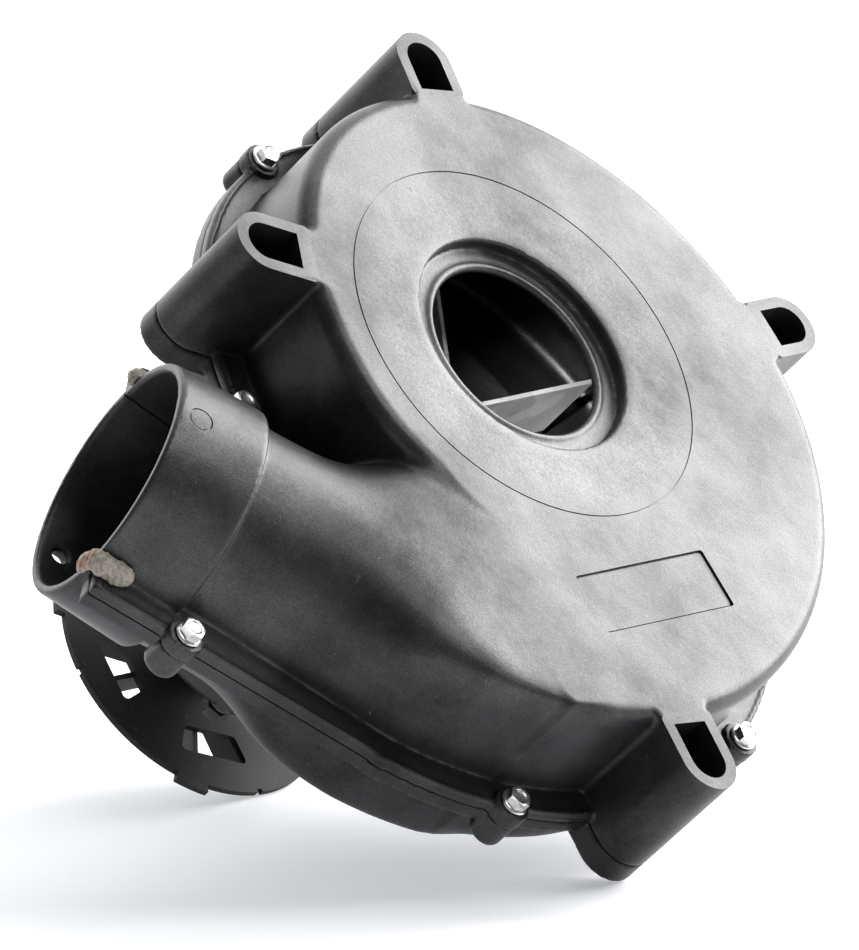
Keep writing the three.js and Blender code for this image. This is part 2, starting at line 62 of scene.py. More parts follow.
INLET_RECESS = 37.2
INLET_FLOOR = 5.0
INLET_THROAT = 29.3
INLET_BACK = 6.6
INLET_RISE = 0.7
INLET_FALL = 1.0
SCRIBED_RADIUS = 61.55
FACE_SLOPE = 0.4
FACE_ROLL = 0.5

OUTLET_Y = -100.55
PIPE_RADIUS = 38.1
PIPE_BORE = 35.3
PIPE_BORE_END = 32.4
PIPE_SHOULDER = 39.3
PIPE_MOUTH_X = -103.9
PIPE_SHOULDER_X = -74.0
DRAIN_X = -96.6
DRAIN_RADIUS = 2.5

DUCT_START_X = -75.0
DUCT_FULL_X = 2.0
DUCT_FADE_X = 30.0
DUCT_SQUARE_X = 40.0
DUCT_END_X = 56.0
DUCT_START_RADIUS = 36.0
DUCT_WIDTH = 38.1
DUCT_FRONT = 42.7
DUCT_REAR = 30.3
DUCT_SQUARENESS = 14.0
DUCT_BEND = 0.06
DUCT_BEND_GROWTH = 0.0044
DUCT_NARROWING = 8.0

FLANGE_WIDTH = 9.0
FLANGE_FRONT = 3.4
FLANGE_REAR = 5.0
FLANGE_MOUTH_X = -102.0
RIDGE_INSET = 1.3
RIDGE_TOP = 4.2

LABEL = {"x": 56.9, "y": -67.0, "length": 57.7, "height": 19.8, "angle": 45.0, "depth": 0.6}

POST_RADIUS = 10.3
POST_SLOT = 6.5
POST_ARM = 30.0
POST_END = -51.6
POST_FLOOR = 3.0
POST_SCREW_HOLE = 2.7
POST_SPARE = 1.6
POST_SLOT_WALL = 2.2
# x, y, direction, and reach of the slot towards the wall
POSTS = [
    (-50.1, 90.9, 124.0, 11.0),
    (-89.8, -23.1, -160.0, 12.0),
    (89.6, 75.6, 45.8, 8.8),
    (82.5, -119.7, -50.4, 12.4),
]

FRONT_BOSS = 5.8
REAR_BOSS = 5.5
BOSS_OFFSET = 8.5
BOSS_TOP = -37.2
BOSS_END = -52.5
BOSS_HOLE = 2.1
SCREW_ANGLES = [144.5, 84.0, 18.0, -27.3, -73.0]
OUTLET_SCREWS = [(-71.0, -147.3), (-69.3, -49.2)]

SHAFT_BORE = 3.5
SHAFT_HOLE = 7.0
SEAL_POCKET = 15.4
SEAL_POCKET_DEPTH = 1.2
BOLT_CIRCLE = 37.3
BOLT_COUNT = 4
BOLT_PAD = 7.5
BOLT_HOLE = 2.3

# Fillets where the posts, the flange, its ridge and the bosses meet the housing
POST_FILLET = 1.6
FLANGE_FILLET = 0.7
RIDGE_FILLET = 0.4
BOSS_FILLET = 0.5
# How far the shapes of a half run on past the parting plane, where they are cut off
OVERRUN = 5
SCROLL_OVERRUN = 20

VOXEL = 0.8


# ------------------------------------------------------------ signed distances of the housing

def smoothstep(x, low, high):
    t = np.clip((x - low) / (high - low), 0, 1)
    return t * t * (3 - 2 * t)


def lerp(a, b, t):
    return a + (b - a) * t


def blend_union(a, b, reach):
    """The nearer of two distances, with a fillet of about reach where they meet."""
    h = np.clip(reach - np.abs(a - b), 0, None) / reach
    return np.minimum(a, b) - h * h * reach / 4


def blend_common(a, b, reach):
    return -blend_union(-a, -b, reach)


def cut_away(body, tool, reach=0.6):
    return blend_common(body, -tool, reach)


def polar(radius, angle):
    return radius * math.cos(math.radians(angle)), radius * math.sin(math.radians(angle))


def scroll_radius(angle):
    """Catmull-Rom curve through SCROLL_RADII, as the CAD part draws it."""
    place = (SCROLL_START - angle) / SCROLL_STEP
    last = len(SCROLL_RADII) - 1
    index = min(int(place), last)
    t = place - index
    p0 = SCROLL_RADII[max(index - 1, 0)]
    p1 = SCROLL_RADII[index]
    p2 = SCROLL_RADII[min(index + 1, last)]
    p3 = SCROLL_RADII[min(index + 2, last)]
    v0 = (p2 - p0) / 2
    v1 = (p3 - p1) / 2
    return (2 * p1 - 2 * p2 + v0 + v1) * t**3 + (3 * p2 - 3 * p1 - 2 * v0 - v1) * t**2 + v0 * t + p1


def scroll_points(end_angle, steps=150):
    angles = np.linspace(SCROLL_START, end_angle, steps + 1)
    return np.array([polar(scroll_radius(angle), angle) for angle in angles])


def polygon_distance(x, y, points):
    """Signed distance from a closed outline, negative inside."""
    x, y = np.broadcast_arrays(x, y)
    nearest = np.full(x.shape, np.inf)
    inside = np.zeros(x.shape, bool)
    for (ax, ay), (bx, by) in zip(points, np.roll(points, -1, axis=0)):
        ex, ey = bx - ax, by - ay
        t = np.clip(((x - ax) * ex + (y - ay) * ey) / (ex * ex + ey * ey + 1e-12), 0, 1)
        nearest = np.minimum(nearest, (x - ax - t * ex) ** 2 + (y - ay - t * ey) ** 2)
        crosses = (ay > y) != (by > y)
        inside ^= crosses & (x < ex * (y - ay) / (ey if ey else 1e-12) + ax)
    return np.where(inside, -1, 1) * np.sqrt(nearest)


def corner_distance(a, b):
    """Distance from the corner between two straight edges, from the distances to each of them."""
    return np.hypot(np.maximum(a, 0), np.maximum(b, 0)) + np.minimum(np.maximum(a, b), 0)


def box_distance(x, y, low_x, high_x, low_y, high_y):
    dx = np.abs(x - (low_x + high_x) / 2) - (high_x - low_x) / 2
    dy = np.abs(y - (low_y + high_y) / 2) - (high_y - low_y) / 2
    return corner_distance(dx, dy)


def slab(flat, z, low, high, round_low=0.8, round_high=0.8):
    """An outline raised from low to high, with rounded edges at either end."""
    top = corner_distance(flat + round_high, z - high + round_high) - round_high
    bottom = corner_distance(flat + round_low, low - z + round_low) - round_low
    return np.maximum(top, bottom)


def duct_distance(x, y, z, inset):
    """Round at the pipe and square at the scroll, where it bends with the wall and narrows into it."""
    grown = smoothstep(x, DUCT_START_X, DUCT_FULL_X)
    bend = np.where(x > 0, DUCT_BEND * x + DUCT_BEND_GROWTH * x * x, 0)
    across = y - OUTLET_Y - bend
    up = z - PARTING_Z
    width = lerp(DUCT_START_RADIUS, DUCT_WIDTH, grown) - inset
    width = width - DUCT_NARROWING * smoothstep(x, DUCT_FADE_X, DUCT_END_X)
    height = lerp(DUCT_START_RADIUS, np.where(up > 0, DUCT_FRONT, DUCT_REAR), grown) - inset
    late = smoothstep(x, DUCT_START_X, DUCT_SQUARE_X) ** 3
    squared = np.where((up > 0) & (across < 0), late, grown**4)
    power = 2 + DUCT_SQUARENESS * squared
    size = np.hypot(across, up)
    reach = (np.abs(across / width) ** power + np.abs(up / height) ** power) ** (1 / power)
    side = size - size / np.maximum(reach, 1e-6)
    return np.maximum(side, np.maximum(DUCT_START_X - x, x - DUCT_END_X))


def pipe_distance(x, y, z):
    radius = lerp(PIPE_RADIUS, PIPE_SHOULDER, (x - PIPE_MOUTH_X) / (PIPE_SHOULDER_X - PIPE_MOUTH_X))
    side = np.hypot(y - OUTLET_Y, z - PARTING_Z) - radius
    ends = np.maximum(PIPE_MOUTH_X - x, x - PIPE_SHOULDER_X)
    return blend_common(side, ends, 1.2)


def bore_distance(x, y, z):
    radius = lerp(PIPE_BORE, PIPE_BORE_END, (x - PIPE_MOUTH_X) / (DUCT_START_X + 1 - PIPE_MOUTH_X))
    side = np.hypot(y - OUTLET_Y, z - PARTING_Z) - radius
    return np.maximum(side, x - DUCT_START_X - 1)


def post_distance(x, y, post, radius, arm):
    px, py, angle, _ = post
    c, s = math.cos(math.radians(angle)), math.sin(math.radians(angle))
    along = (x - px) * c + (y - py) * s
    across = -(x - px) * s + (y - py) * c
    straight = np.maximum(np.abs(across) - radius, -along - arm)
    return np.where(along > 0, np.hypot(along, across) - radius, straight)


def screw_places():
    around = [polar(scroll_radius(angle) + BOSS_OFFSET, angle) for angle in SCREW_ANGLES]
    return around + OUTLET_SCREWS


def bolt_places():
    return [polar(BOLT_CIRCLE, index * 360 / BOLT_COUNT) for index in range(BOLT_COUNT)]


class Outlines:
    """The flat outlines that both halves share, worked out once on the grid."""

    def __init__(self, x, y):
        self.scroll = polygon_distance(x, y, scroll_points(SCROLL_OPENS))
        rim = polygon_distance(x, y, scroll_points(-90.0)) - FLANGE_WIDTH
        side = PIPE_RADIUS + FLANGE_WIDTH
        strip = box_distance(x, y, FLANGE_MOUTH_X, 0, OUTLET_Y - side, OUTLET_Y + side)
        flange = blend_union(rim, strip, 3)
        self.bosses = np.min([np.hypot(x - bx, y - by) for bx, by in screw_places()], axis=0)
        self.flange = flange
        self.ridge = np.abs(flange + RIDGE_INSET) - 0.5
        self.posts = np.min([post_distance(x, y, post, POST_RADIUS, POST_ARM) for post in POSTS], axis=0)
        self.slots = np.min([post_distance(x, y, post, POST_SLOT, post[3]) for post in POSTS], axis=0)


def air_distance(x, y, z, flat):
    """The air inside: scroll, duct and pipe bore, kept off the slots in the posts."""
    scroll = slab(flat.scroll + WALL, z, BACK_Z + WALL, -WALL, AIR_REAR_ROUND, FRONT_ROUND - 1)
    air = np.minimum(scroll, np.minimum(duct_distance(x, y, z, WALL), bore_distance(x, y, z)))
    return np.maximum(air, POST_SLOT_WALL - flat.slots)


def outside_distance(x, y, z, flat, low, high, edge):
    """The outside of one half between low and high: scroll, duct and pipe run together with fillets."""
    round_low, round_high = edge
    scroll = slab(flat.scroll, z, low, high, round_low, round_high)
    body = blend_union(scroll, duct_distance(x, y, z, 0), 4)
    return blend_union(body, pipe_distance(x, y, z), 1.2)


def face_sink(radius):
    """How far the front face lies below its outer part, which is flat outside the scribed circle."""
    slope = FACE_SLOPE * smoothstep(-radius, -SCRIBED_RADIUS, -INLET_RECESS - 6)
    roll = FACE_ROLL * smoothstep(-radius, -INLET_RECESS - 5, -INLET_RECESS + 1.5) ** 2
    return slope + roll


def inlet_cut_distance(radius, z):
    """The sunken ring around the inlet, whose floor rises to a thin lip, and the throat inside it."""
    rise = INLET_RISE * (1 - smoothstep(radius, INLET_THROAT + 1.4, INLET_THROAT + 3.4))
    fall = INLET_FALL * (1 - smoothstep(radius, INLET_THROAT, INLET_THROAT + 1.2))
    recess = blend_common(radius - INLET_RECESS, -INLET_FLOOR + rise - fall - z, 0.8)
    return np.minimum(recess, radius - INLET_THROAT)


def front_distance(x, y, z, flat):
    body = outside_distance(x, y, z, flat, PARTING_Z - SCROLL_OVERRUN, 0, (1, FRONT_ROUND))
    flange = slab(flat.flange, z, PARTING_Z - OVERRUN, PARTING_Z + FLANGE_FRONT, 0.8, 0.5)
    ridge = slab(flat.ridge, z, PARTING_Z, PARTING_Z + RIDGE_TOP, 0.3, 0.3)
    bosses = slab(flat.bosses - FRONT_BOSS, z, PARTING_Z - OVERRUN, BOSS_TOP, 0.5, 0.5)
    body = blend_union(body, slab(flat.posts, z, POST_END, POST_SPARE, 0.8, 0.5), POST_FILLET)
    body = blend_union(body, flange, FLANGE_FILLET)
    body = blend_union(body, ridge, RIDGE_FILLET)
    body = blend_union(body, bosses, BOSS_FILLET)
    radius = np.hypot(x, y)
    on_post = (flat.posts < 1) & (flat.scroll > 0)
    body = np.maximum(body, z + np.where(on_post, -POST_SPARE, face_sink(radius)))
    body = cut_away(body, air_distance(x, y, z, flat), 0.8)
    body = np.minimum(body, slab(radius - INLET_RECESS - WALL, z, -INLET_BACK, -WALL + 0.5))
    body = cut_away(body, inlet_cut_distance(radius, z), 0.4)
    body = cut_away(body, flat.bosses - BOSS_HOLE, 0.4)
    return np.maximum(body, PARTING_Z + SEAM - z)


def rear_distance(x, y, z, flat):
    body = outside_distance(x, y, z, flat, BACK_Z, PARTING_Z + SCROLL_OVERRUN, (REAR_ROUND, 1))
    flange = slab(flat.flange, z, PARTING_Z - FLANGE_REAR, PARTING_Z + OVERRUN, 0.5, 0.5)
    bosses = slab(flat.bosses - REAR_BOSS, z, BOSS_END, PARTING_Z + OVERRUN, 1.6)
    body = blend_union(body, slab(flat.posts, z, POST_END, 0, 0.9, 0.8), POST_FILLET)
    body = blend_union(body, flange, FLANGE_FILLET)
    body = blend_union(body, bosses, BOSS_FILLET)
    bolts = np.min([np.hypot(x - bx, y - by) for bx, by in bolt_places()], axis=0)
    radius = np.hypot(x, y)
    body = cut_away(body, air_distance(x, y, z, flat), 0.8)
    body = blend_union(body, slab(bolts - BOLT_PAD, z, BACK_Z - 2, BACK_Z + WALL, 0.8, 0.8), 2)
    body = cut_away(body, np.minimum(bolts - BOLT_HOLE, radius - SHAFT_HOLE), 0.5)
    pocket = slab(radius - SEAL_POCKET, z, BACK_Z - 5, BACK_Z + SEAL_POCKET_DEPTH, 0.3, 0.3)
    body = cut_away(body, pocket, 0.4)
    posts = np.min([np.hypot(x - px, y - py) for px, py, _, _ in POSTS], axis=0)
    body = cut_away(body, posts - POST_SCREW_HOLE, 0.6)
    body = cut_away(body, slab(flat.bosses - BOSS_HOLE, z, BOSS_END + WALL, 0, 0.4, 0.4), 0.4)
    drain = np.hypot(x - DRAIN_X, y - OUTLET_Y) - DRAIN_RADIUS
    body = cut_away(body, np.maximum(drain, z - PARTING_Z), 0.6)
    return np.maximum(body, z - PARTING_Z + SEAM)


# ------------------------------------------------------------ meshes

EDGES = [(corner, axis) for axis in range(3) for corner in range(8) if not corner >> axis & 1]


def corner_offset(corner):
    return np.array([corner & 1, corner >> 1 & 1, corner >> 2 & 1])


def surface_of(field, low_corner, step):
    """A smooth quad mesh of the surface where field is zero: one vertex for each cell that it crosses."""
    inside = field < 0
    cells = tuple(size - 1 for size in field.shape)
    count = np.zeros(cells, np.uint8)
    for corner in range(8):
        a, b, c = corner_offset(corner)
        count += inside[a:a + cells[0], b:b + cells[1], c:c + cells[2]]
    index = np.argwhere((count > 0) & (count < 8))
    number = np.full(cells, -1, np.int32)
    number[tuple(index.T)] = np.arange(len(index), dtype=np.int32)
    total = np.zeros((len(index), 3))
    hits = np.zeros(len(index))
    for corner, axis in EDGES:
        start = corner_offset(corner)
        end = corner_offset(corner | 1 << axis)
        a = field[tuple((index + start).T)]
        b = field[tuple((index + end).T)]
        crossed = (a < 0) != (b < 0)
        t = np.where(crossed, a / np.where(crossed, a - b, 1), 0)
        total += np.where(crossed[:, None], start + t[:, None] * (end - start), 0)
        hits += crossed
    points = (index + total / hits[:, None]) * step + low_corner
    faces = []
    for axis in range(3):
        right, up = (axis + 1) % 3, (axis + 2) % 3
        here = np.moveaxis(inside, (axis, right, up), (0, 1, 2))
        ids = np.moveaxis(number, (axis, right, up), (0, 1, 2))
        changed = np.argwhere(here[:-1, 1:-1, 1:-1] != here[1:, 1:-1, 1:-1])
        i, j, k = changed[:, 0], changed[:, 1] + 1, changed[:, 2] + 1
        around = [ids[i, j - 1, k - 1], ids[i, j, k - 1], ids[i, j, k], ids[i, j - 1, k]]
        quad = np.stack(around, axis=1)
        outwards = here[i, j, k]
        faces.append(np.where(outwards[:, None], quad, quad[:, ::-1]))
    return points, np.concatenate(faces)


def placed(name, data):
    """A new object in the scene."""
    made = bpy.data.objects.new(name, data)
    bpy.context.scene.collection.objects.link(made)
    return made


def mesh_object(name, points, faces):
    """An object from points in millimetres and an array of faces that all have as many corners."""
    faces = np.asarray(faces, np.int32)
    corners = faces.shape[1]
    mesh = bpy.data.meshes.new(name)
    mesh.vertices.add(len(points))
    mesh.vertices.foreach_set("co", (np.asarray(points) * MM).astype(np.float32).ravel())
    mesh.loops.add(faces.size)
    mesh.loops.foreach_set("vertex_index", faces.ravel())
    mesh.polygons.add(len(faces))
    mesh.polygons.foreach_set("loop_start", np.arange(0, faces.size, corners, dtype=np.int32))
    mesh.update(calc_edges=True)
    return placed(name, mesh)


def from_bmesh(name, bm):
    bmesh.ops.recalc_face_normals(bm, faces=bm.faces)
    mesh = bpy.data.meshes.new(name)
    bm.to_mesh(mesh)
    bm.free()
    return placed(name, mesh)


def prism(name, outline, low, high):
    """A flat outline raised from low to high."""
    bm = bmesh.new()
    base = [bm.verts.new((x * MM, y * MM, low * MM)) for x, y in outline]
    top = [bm.verts.new((x * MM, y * MM, high * MM)) for x, y in outline]
    bm.faces.new(base)
    bm.faces.new(top)
    for index in range(len(outline)):
        after = (index + 1) % len(outline)
        bm.faces.new((base[index], base[after], top[after], top[index]))
    return from_bmesh(name, bm)


def revolve(name, profile, segments=96):
    """A closed [radius, height] profile turned around Z. Points on the axis are shared."""
    bm = bmesh.new()
    rings = []
    for radius, height in profile:
        if radius < 1e-6:
            rings.append([bm.verts.new((0, 0, height * MM))] * segments)
            continue
        ring = []
        for index in range(segments):
            x, y = polar(radius * MM, 360 * index / segments)
            ring.append(bm.verts.new((x, y, height * MM)))
        rings.append(ring)
    for ring, following in zip(rings, rings[1:] + rings[:1]):
        for index in range(segments):
            after = (index + 1) % segments
            corners = [ring[index], ring[after], following[after], following[index]]
            distinct = list(dict.fromkeys(corners))
            if len(distinct) >= 3:
                bm.faces.new(distinct)
    return from_bmesh(name, bm)


def chamfered(inner, outer, low, high, chamfer):
    """The profile of a bar, a bush or a disc with chamfered outer edges."""
    return [(inner, low), (outer - chamfer, low), (outer, low + chamfer),
            (outer, high - chamfer), (outer - chamfer, high), (inner, high)]


def cylinder(name, radius, low, high, segments=64):
    return revolve(name, [(0, low), (radius, low), (radius, high), (0, high)], segments)


def tube(name, inner, outer, low, high, segments=96):
    return revolve(name, [(inner, low), (outer, low), (outer, high), (inner, high)], segments)


def bore(radius, segments=64):
    """A cutter for a hole through everything behind the face."""
    return cylinder("bore", radius, -200, 0, segments)


def box(name, low, high):
    (ax, ay, az), (bx, by, bz) = low, high
    return prism(name, [(ax, ay), (bx, ay), (bx, by), (ax, by)], az, bz)


def sector(inner, outer, start, span, steps=16):
    angles = [start + span * index / steps for index in range(steps + 1)]
    return [polar(outer, angle) for angle in angles] + [polar(inner, angle) for angle in reversed(angles)]


def rounded_outline(outline, radius, steps=5):
    """A convex outline with its corners rounded."""
    rounded = []
    count = len(outline)
    for index in range(count):
        here = Vector(outline[index])
        before = (Vector(outline[index - 1]) - here).normalized()
        after = (Vector(outline[(index + 1) % count]) - here).normalized()
        half = before.angle(after) / 2
        reach = radius / math.tan(half)
        centre = here + (before + after).normalized() * (radius / math.sin(half))
        first = here + before * reach - centre
        last = here + after * reach - centre
        for step in range(steps + 1):
            rounded.append(tuple(centre + first.slerp(last, step / steps)))
    return rounded


def rounded_rectangle(x, y, radius):
    """A rectangle around the origin that reaches x and y to either side."""
    return rounded_outline([(-x, -y), (x, -y), (x, y), (-x, y)], radius)


def rounded_sector(inner, outer, span, radius, steps=6):
    """A sector of a ring around angle zero with rounded corners."""
    outline = []
    for ring_radius, side, first in ((outer, -1, 0), (outer, 1, 1), (inner, 1, 2), (inner, -1, 3)):
        inset = radius if ring_radius == inner else -radius
        reach = ring_radius + inset
        angle = side * (span / 2 - math.degrees(math.asin(radius / reach)))
        cx, cy = polar(reach, angle)
        for step in range(steps + 1):
            turn = angle - 90 + first * 90 + 90 * step / steps
            outline.append((cx + polar(radius, turn)[0], cy + polar(radius, turn)[1]))
    return outline


def moved(made, angle=0.0, x=0.0, y=0.0, z=0.0):
    """Turns a new object's mesh around Z, then shifts it."""
    turn = Matrix.Translation((x * MM, y * MM, z * MM)) @ Matrix.Rotation(math.radians(angle), 4, "Z")
    made.data.transform(turn)
    return made


def upright(made):
    """Stands an outline that was drawn in radius and height up on the axis."""
    made.data.transform(Matrix.Rotation(math.radians(90), 4, "X"))
    return made


def duplicate(made, name):
    return placed(name, made.data.copy())


def ring_of(made, count, first=0.0):
    """Copies of an object spread evenly around Z, with the object itself as the first."""
    copies = [made] + [duplicate(made, f"{made.name}_{index}") for index in range(1, count)]
    return [moved(copy, first + index * 360 / count) for index, copy in enumerate(copies)]


def combine(made, others, operation):
    """Joins or cuts an object with others, which are used up."""
    for other in others:
        modifier = made.modifiers.new("combine", "BOOLEAN")
        modifier.operation = operation
        modifier.solver = "MANIFOLD"
        modifier.object = other
        bpy.context.view_layer.update()
        evaluated = made.evaluated_get(bpy.context.evaluated_depsgraph_get())
        mesh = bpy.data.meshes.new_from_object(evaluated)
        made.modifiers.clear()
        made.data = mesh
        bpy.data.objects.remove(other)
    return made


def joined(made, others):
    return combine(made, others, "UNION")


def cut(made, others):
    return combine(made, others, "DIFFERENCE")


def finished(made, material, body, replaced=(), bevel=0.0, sharp=35.0, segments=2):
    """Gives a piece its material, its shading, its body and the CAD nodes that it stands for."""
    mesh = made.data
    mesh.materials.clear()
    mesh.materials.append(material)
    mesh.polygons.foreach_set("use_smooth", np.ones(len(mesh.polygons), bool))
    mesh.set_sharp_from_angle(angle=math.radians(sharp))
    if bevel:
        modifier = made.modifiers.new("soft_edges", "BEVEL")
        modifier.width = bevel * MM
        modifier.segments = segments
        modifier.limit_method = "ANGLE"
        modifier.angle_limit = math.radians(sharp)
        modifier.harden_normals = True
    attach(made, body)
    if replaced:
        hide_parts(*replaced)
    return made


def housing_mesh(name, distance, low_z, high_z):
    low = np.array([PIPE_MOUTH_X - 3, -157.0, low_z - 2])
    high = np.array([127.0, 115.0, high_z + 2])
    counts = np.ceil((high - low) / VOXEL).astype(int) + 1
    x = (low[0] + VOXEL * np.arange(counts[0]))[:, None, None]
    y = (low[1] + VOXEL * np.arange(counts[1]))[None, :, None]
    z = (low[2] + VOXEL * np.arange(counts[2]))[None, None, :]
    field = distance(x, y, z, Outlines(x, y)).astype(np.float32)
    points, faces = surface_of(field, low, VOXEL)
    return mesh_object(name, points, faces)


# ------------------------------------------------------------ materials

# Height of the impeller disc's top face. Below it the steel is painted near black as painted shade.
PAINTED_SHADE_TOP = -62.0
SHEET_THICKNESS = 0.65
# How fast the rust stain comes up past the rim, per metre
STAIN_FADE = 500


def with_alpha(value):
    return (*value, 1) if isinstance(value, tuple) else value


class Nodes:
    """Short ways to build a material's nodes."""

    def __init__(self, name):
        self.material = bpy.data.materials.new(name)
        self.material["slot"] = name
        self.material.use_nodes = True
        self.tree = self.material.node_tree
        self.surface = self.tree.nodes["Principled BSDF"]
        self.place = self.tree.nodes.new("ShaderNodeTexCoord").outputs["Object"]

    def add(self, kind, **settings):
        node = self.tree.nodes.new(kind)
        for key, value in settings.items():
            setattr(node, key, value)
        return node

    def feed(self, value, socket):
        """Links a socket, or sets a constant."""
        if isinstance(value, bpy.types.NodeSocket):
            self.tree.links.new(value, socket)
        else:
            socket.default_value = value

    def noise(self, scale, detail=3.0, roughness=0.5, stretch=None):
        node = self.add("ShaderNodeTexNoise")
        node.inputs["Scale"].default_value = scale
        node.inputs["Detail"].default_value = detail
        node.inputs["Roughness"].default_value = roughness
        self.tree.links.new(self.stretched(stretch), node.inputs["Vector"])
        return node.outputs["Fac"]

    def stretched(self, stretch):
        if stretch is None:
            return self.place
        node = self.add("ShaderNodeMapping")
        node.inputs["Scale"].default_value = stretch
        self.tree.links.new(self.place, node.inputs["Vector"])
        return node.outputs["Vector"]

    def ramp(self, value, *stops):
        """stops are (position, grey or colour)."""
        node = self.add("ShaderNodeValToRGB")
        elements = node.color_ramp.elements
        while len(elements) < len(stops):
            elements.new(0.5)
        for element, (position, colour) in zip(elements, stops):
            element.position = position
            element.color = (colour,) * 3 + (1,) if isinstance(colour, (int, float)) else (*colour, 1)
        self.feed(value, node.inputs["Fac"])
        return node.outputs["Color"]

    def fade(self, value, low, high):
        """Black below low, white above high."""
        return self.ramp(value, (low, 0.0), (high, 1.0))

    def math(self, operation, a, b=0.0, clamp=False):
        node = self.add("ShaderNodeMath", operation=operation, use_clamp=clamp)
        self.feed(a, node.inputs[0])
        self.feed(b, node.inputs[1])
        return node.outputs["Value"]

    def plus(self, a, b, clamp=False):
        return self.math("ADD", a, b, clamp)

    def times(self, a, b, clamp=False):
        return self.math("MULTIPLY", a, b, clamp)

    def scaled(self, value, factor, offset):
        return self.plus(self.times(value, factor), offset)

    def mix(self, factor, a, b):
        node = self.add("ShaderNodeMix", data_type="RGBA")
        self.feed(factor, node.inputs["Factor"])
        self.feed(with_alpha(a), node.inputs["A"])
        self.feed(with_alpha(b), node.inputs["B"])
        return node.outputs["Result"]

    def bump(self, height, strength, distance, after=None):
        node = self.add("ShaderNodeBump")
        node.inputs["Strength"].default_value = strength
        node.inputs["Distance"].default_value = distance * MM
        self.feed(height, node.inputs["Height"])
        if after is not None:
            self.tree.links.new(after, node.inputs["Normal"])
        return node.outputs["Normal"]

    def position(self):
        node = self.add("ShaderNodeSeparateXYZ")
        self.tree.links.new(self.place, node.inputs["Vector"])
        return node.outputs["X"], node.outputs["Y"], node.outputs["Z"]

    def edges(self, radius, low, high):
        """White on the crests of edges, from the angle between the rounded and the true normal."""
        rounded = self.add("ShaderNodeBevel")
        rounded.samples = 4
        rounded.inputs["Radius"].default_value = radius * MM
        true = self.add("ShaderNodeNewGeometry").outputs["Normal"]
        dot = self.add("ShaderNodeVectorMath", operation="DOT_PRODUCT")
        self.tree.links.new(rounded.outputs["Normal"], dot.inputs[0])
        self.tree.links.new(true, dot.inputs[1])
        return self.ramp(dot.outputs["Value"], (low, 1.0), (high, 0.0))

    def shade(self, **sockets):
        for key, value in sockets.items():
            socket = self.surface.inputs[key.replace("_", " ")]
            self.feed(with_alpha(value), socket)
        return self.material


def black_plastic():
    """Moulded glass-filled plastic: cloudy silver sheen, flow marks, fine grain, a few scuffs and dust."""
    n = Nodes("housing_plastic")
    broad = n.noise(13, 2, 0.5)
    clouds = n.noise(45, 3, 0.55)
    flow = n.noise(90, 2, 0.5)
    mottle = n.noise(420, 4, 0.7)
    grain = n.noise(1700, 3, 0.7)
    scuffs = n.fade(n.noise(150, 6, 0.75, (1.0, 0.25, 1.0)), 0.66, 0.72)
    dust = n.fade(n.noise(900, 2, 0.6), 0.72, 0.77)
    base = n.mix(n.fade(clouds, 0.35, 0.68), (0.008, 0.008, 0.009), (0.013, 0.013, 0.014))
    base = n.mix(n.times(scuffs, 0.3), base, (0.10, 0.10, 0.10))
    marked = n.mix(n.times(dust, 0.4), base, (0.20, 0.19, 0.17))
    sheen = 0.19
    patterns = [(broad, 0.40, 0.62, 0.26), (clouds, 0.34, 0.66, 0.10)]
    patterns += [(flow, 0.44, 0.58, 0.05), (mottle, 0.40, 0.62, 0.06)]
    for pattern, low, high, amount in patterns:
        sheen = n.plus(sheen, n.times(n.fade(pattern, low, high), amount))
    speckle = n.scaled(n.fade(grain, 0.38, 0.62), 0.5, 0.75)
    sheen = n.times(sheen, speckle)
    rough = n.scaled(clouds, 0.16, 0.26)
    rough = n.plus(rough, n.times(mottle, 0.10))
    rough = n.plus(rough, n.times(scuffs, 0.10), clamp=True)
    relief = None
    reliefs = [(grain, 0.6, 0.09), (mottle, 0.3, 0.10), (flow, 0.3, 0.5), (broad, 0.6, 4.0)]
    for height, strength, distance in reliefs:
        relief = n.bump(height, strength, distance, relief)
    return n.shade(Base_Color=marked, Roughness=rough, Normal=relief, Specular_IOR_Level=sheen)


def fan_black_plastic():
    """The cooling disc's matt plastic, finer and duller than the housing."""
    n = Nodes("fan_plastic")
    clouds = n.noise(55, 4, 0.6)
    grain = n.noise(1300, 2, 0.6)
    dust = n.fade(n.noise(420, 2, 0.7), 0.62, 0.72)
    base = n.mix(n.fade(clouds, 0.35, 0.7), (0.011, 0.011, 0.012), (0.022, 0.022, 0.022))
    marked = n.mix(n.times(dust, 0.22), base, (0.14, 0.135, 0.13))
    rough = n.scaled(clouds, 0.2, 0.5)
    relief = n.bump(grain, 0.35, 0.05)
    return n.shade(Base_Color=marked, Roughness=rough, Normal=relief, Specular_IOR_Level=0.2)


def galvanised_steel():
    """The impeller's zinc-coated sheet: soft spangle, light handling marks, and painted shade that darkens
    the disc to near black.
    """
    n = Nodes("impeller_steel")
    cells = n.add("ShaderNodeTexVoronoi", feature="F1")
    cells.inputs["Scale"].default_value = 130
    n.tree.links.new(n.place, cells.inputs["Vector"])
    spangle = n.ramp(cells.outputs["Color"], (0.2, 0.0), (0.9, 1.0))
    marks = n.noise(320, 3, 0.6, (0.2, 1.0, 1.0))
    base = n.mix(spangle, (0.58, 0.59, 0.60), (0.74, 0.75, 0.76))
    base = n.mix(n.fade(marks, 0.6, 0.75), base, (0.45, 0.45, 0.45))
    # Painted shade: the disc and everything below its top face are darkened to near black, standing in for
    # the shadow behind the inlet
    painted_shade = n.math("LESS_THAN", n.position()[2], PAINTED_SHADE_TOP * MM)
    painted_shade = n.times(painted_shade, n.scaled(marks, 0.1, 0.9), clamp=True)
    base = n.mix(painted_shade, base, (0.012, 0.012, 0.012))
    rough = n.scaled(spangle, 0.16, 0.46)
    relief = n.bump(n.noise(700, 2, 0.5), 0.15, 0.05)
    return n.shade(Base_Color=base, Metallic=0.3, Roughness=rough, Normal=relief)


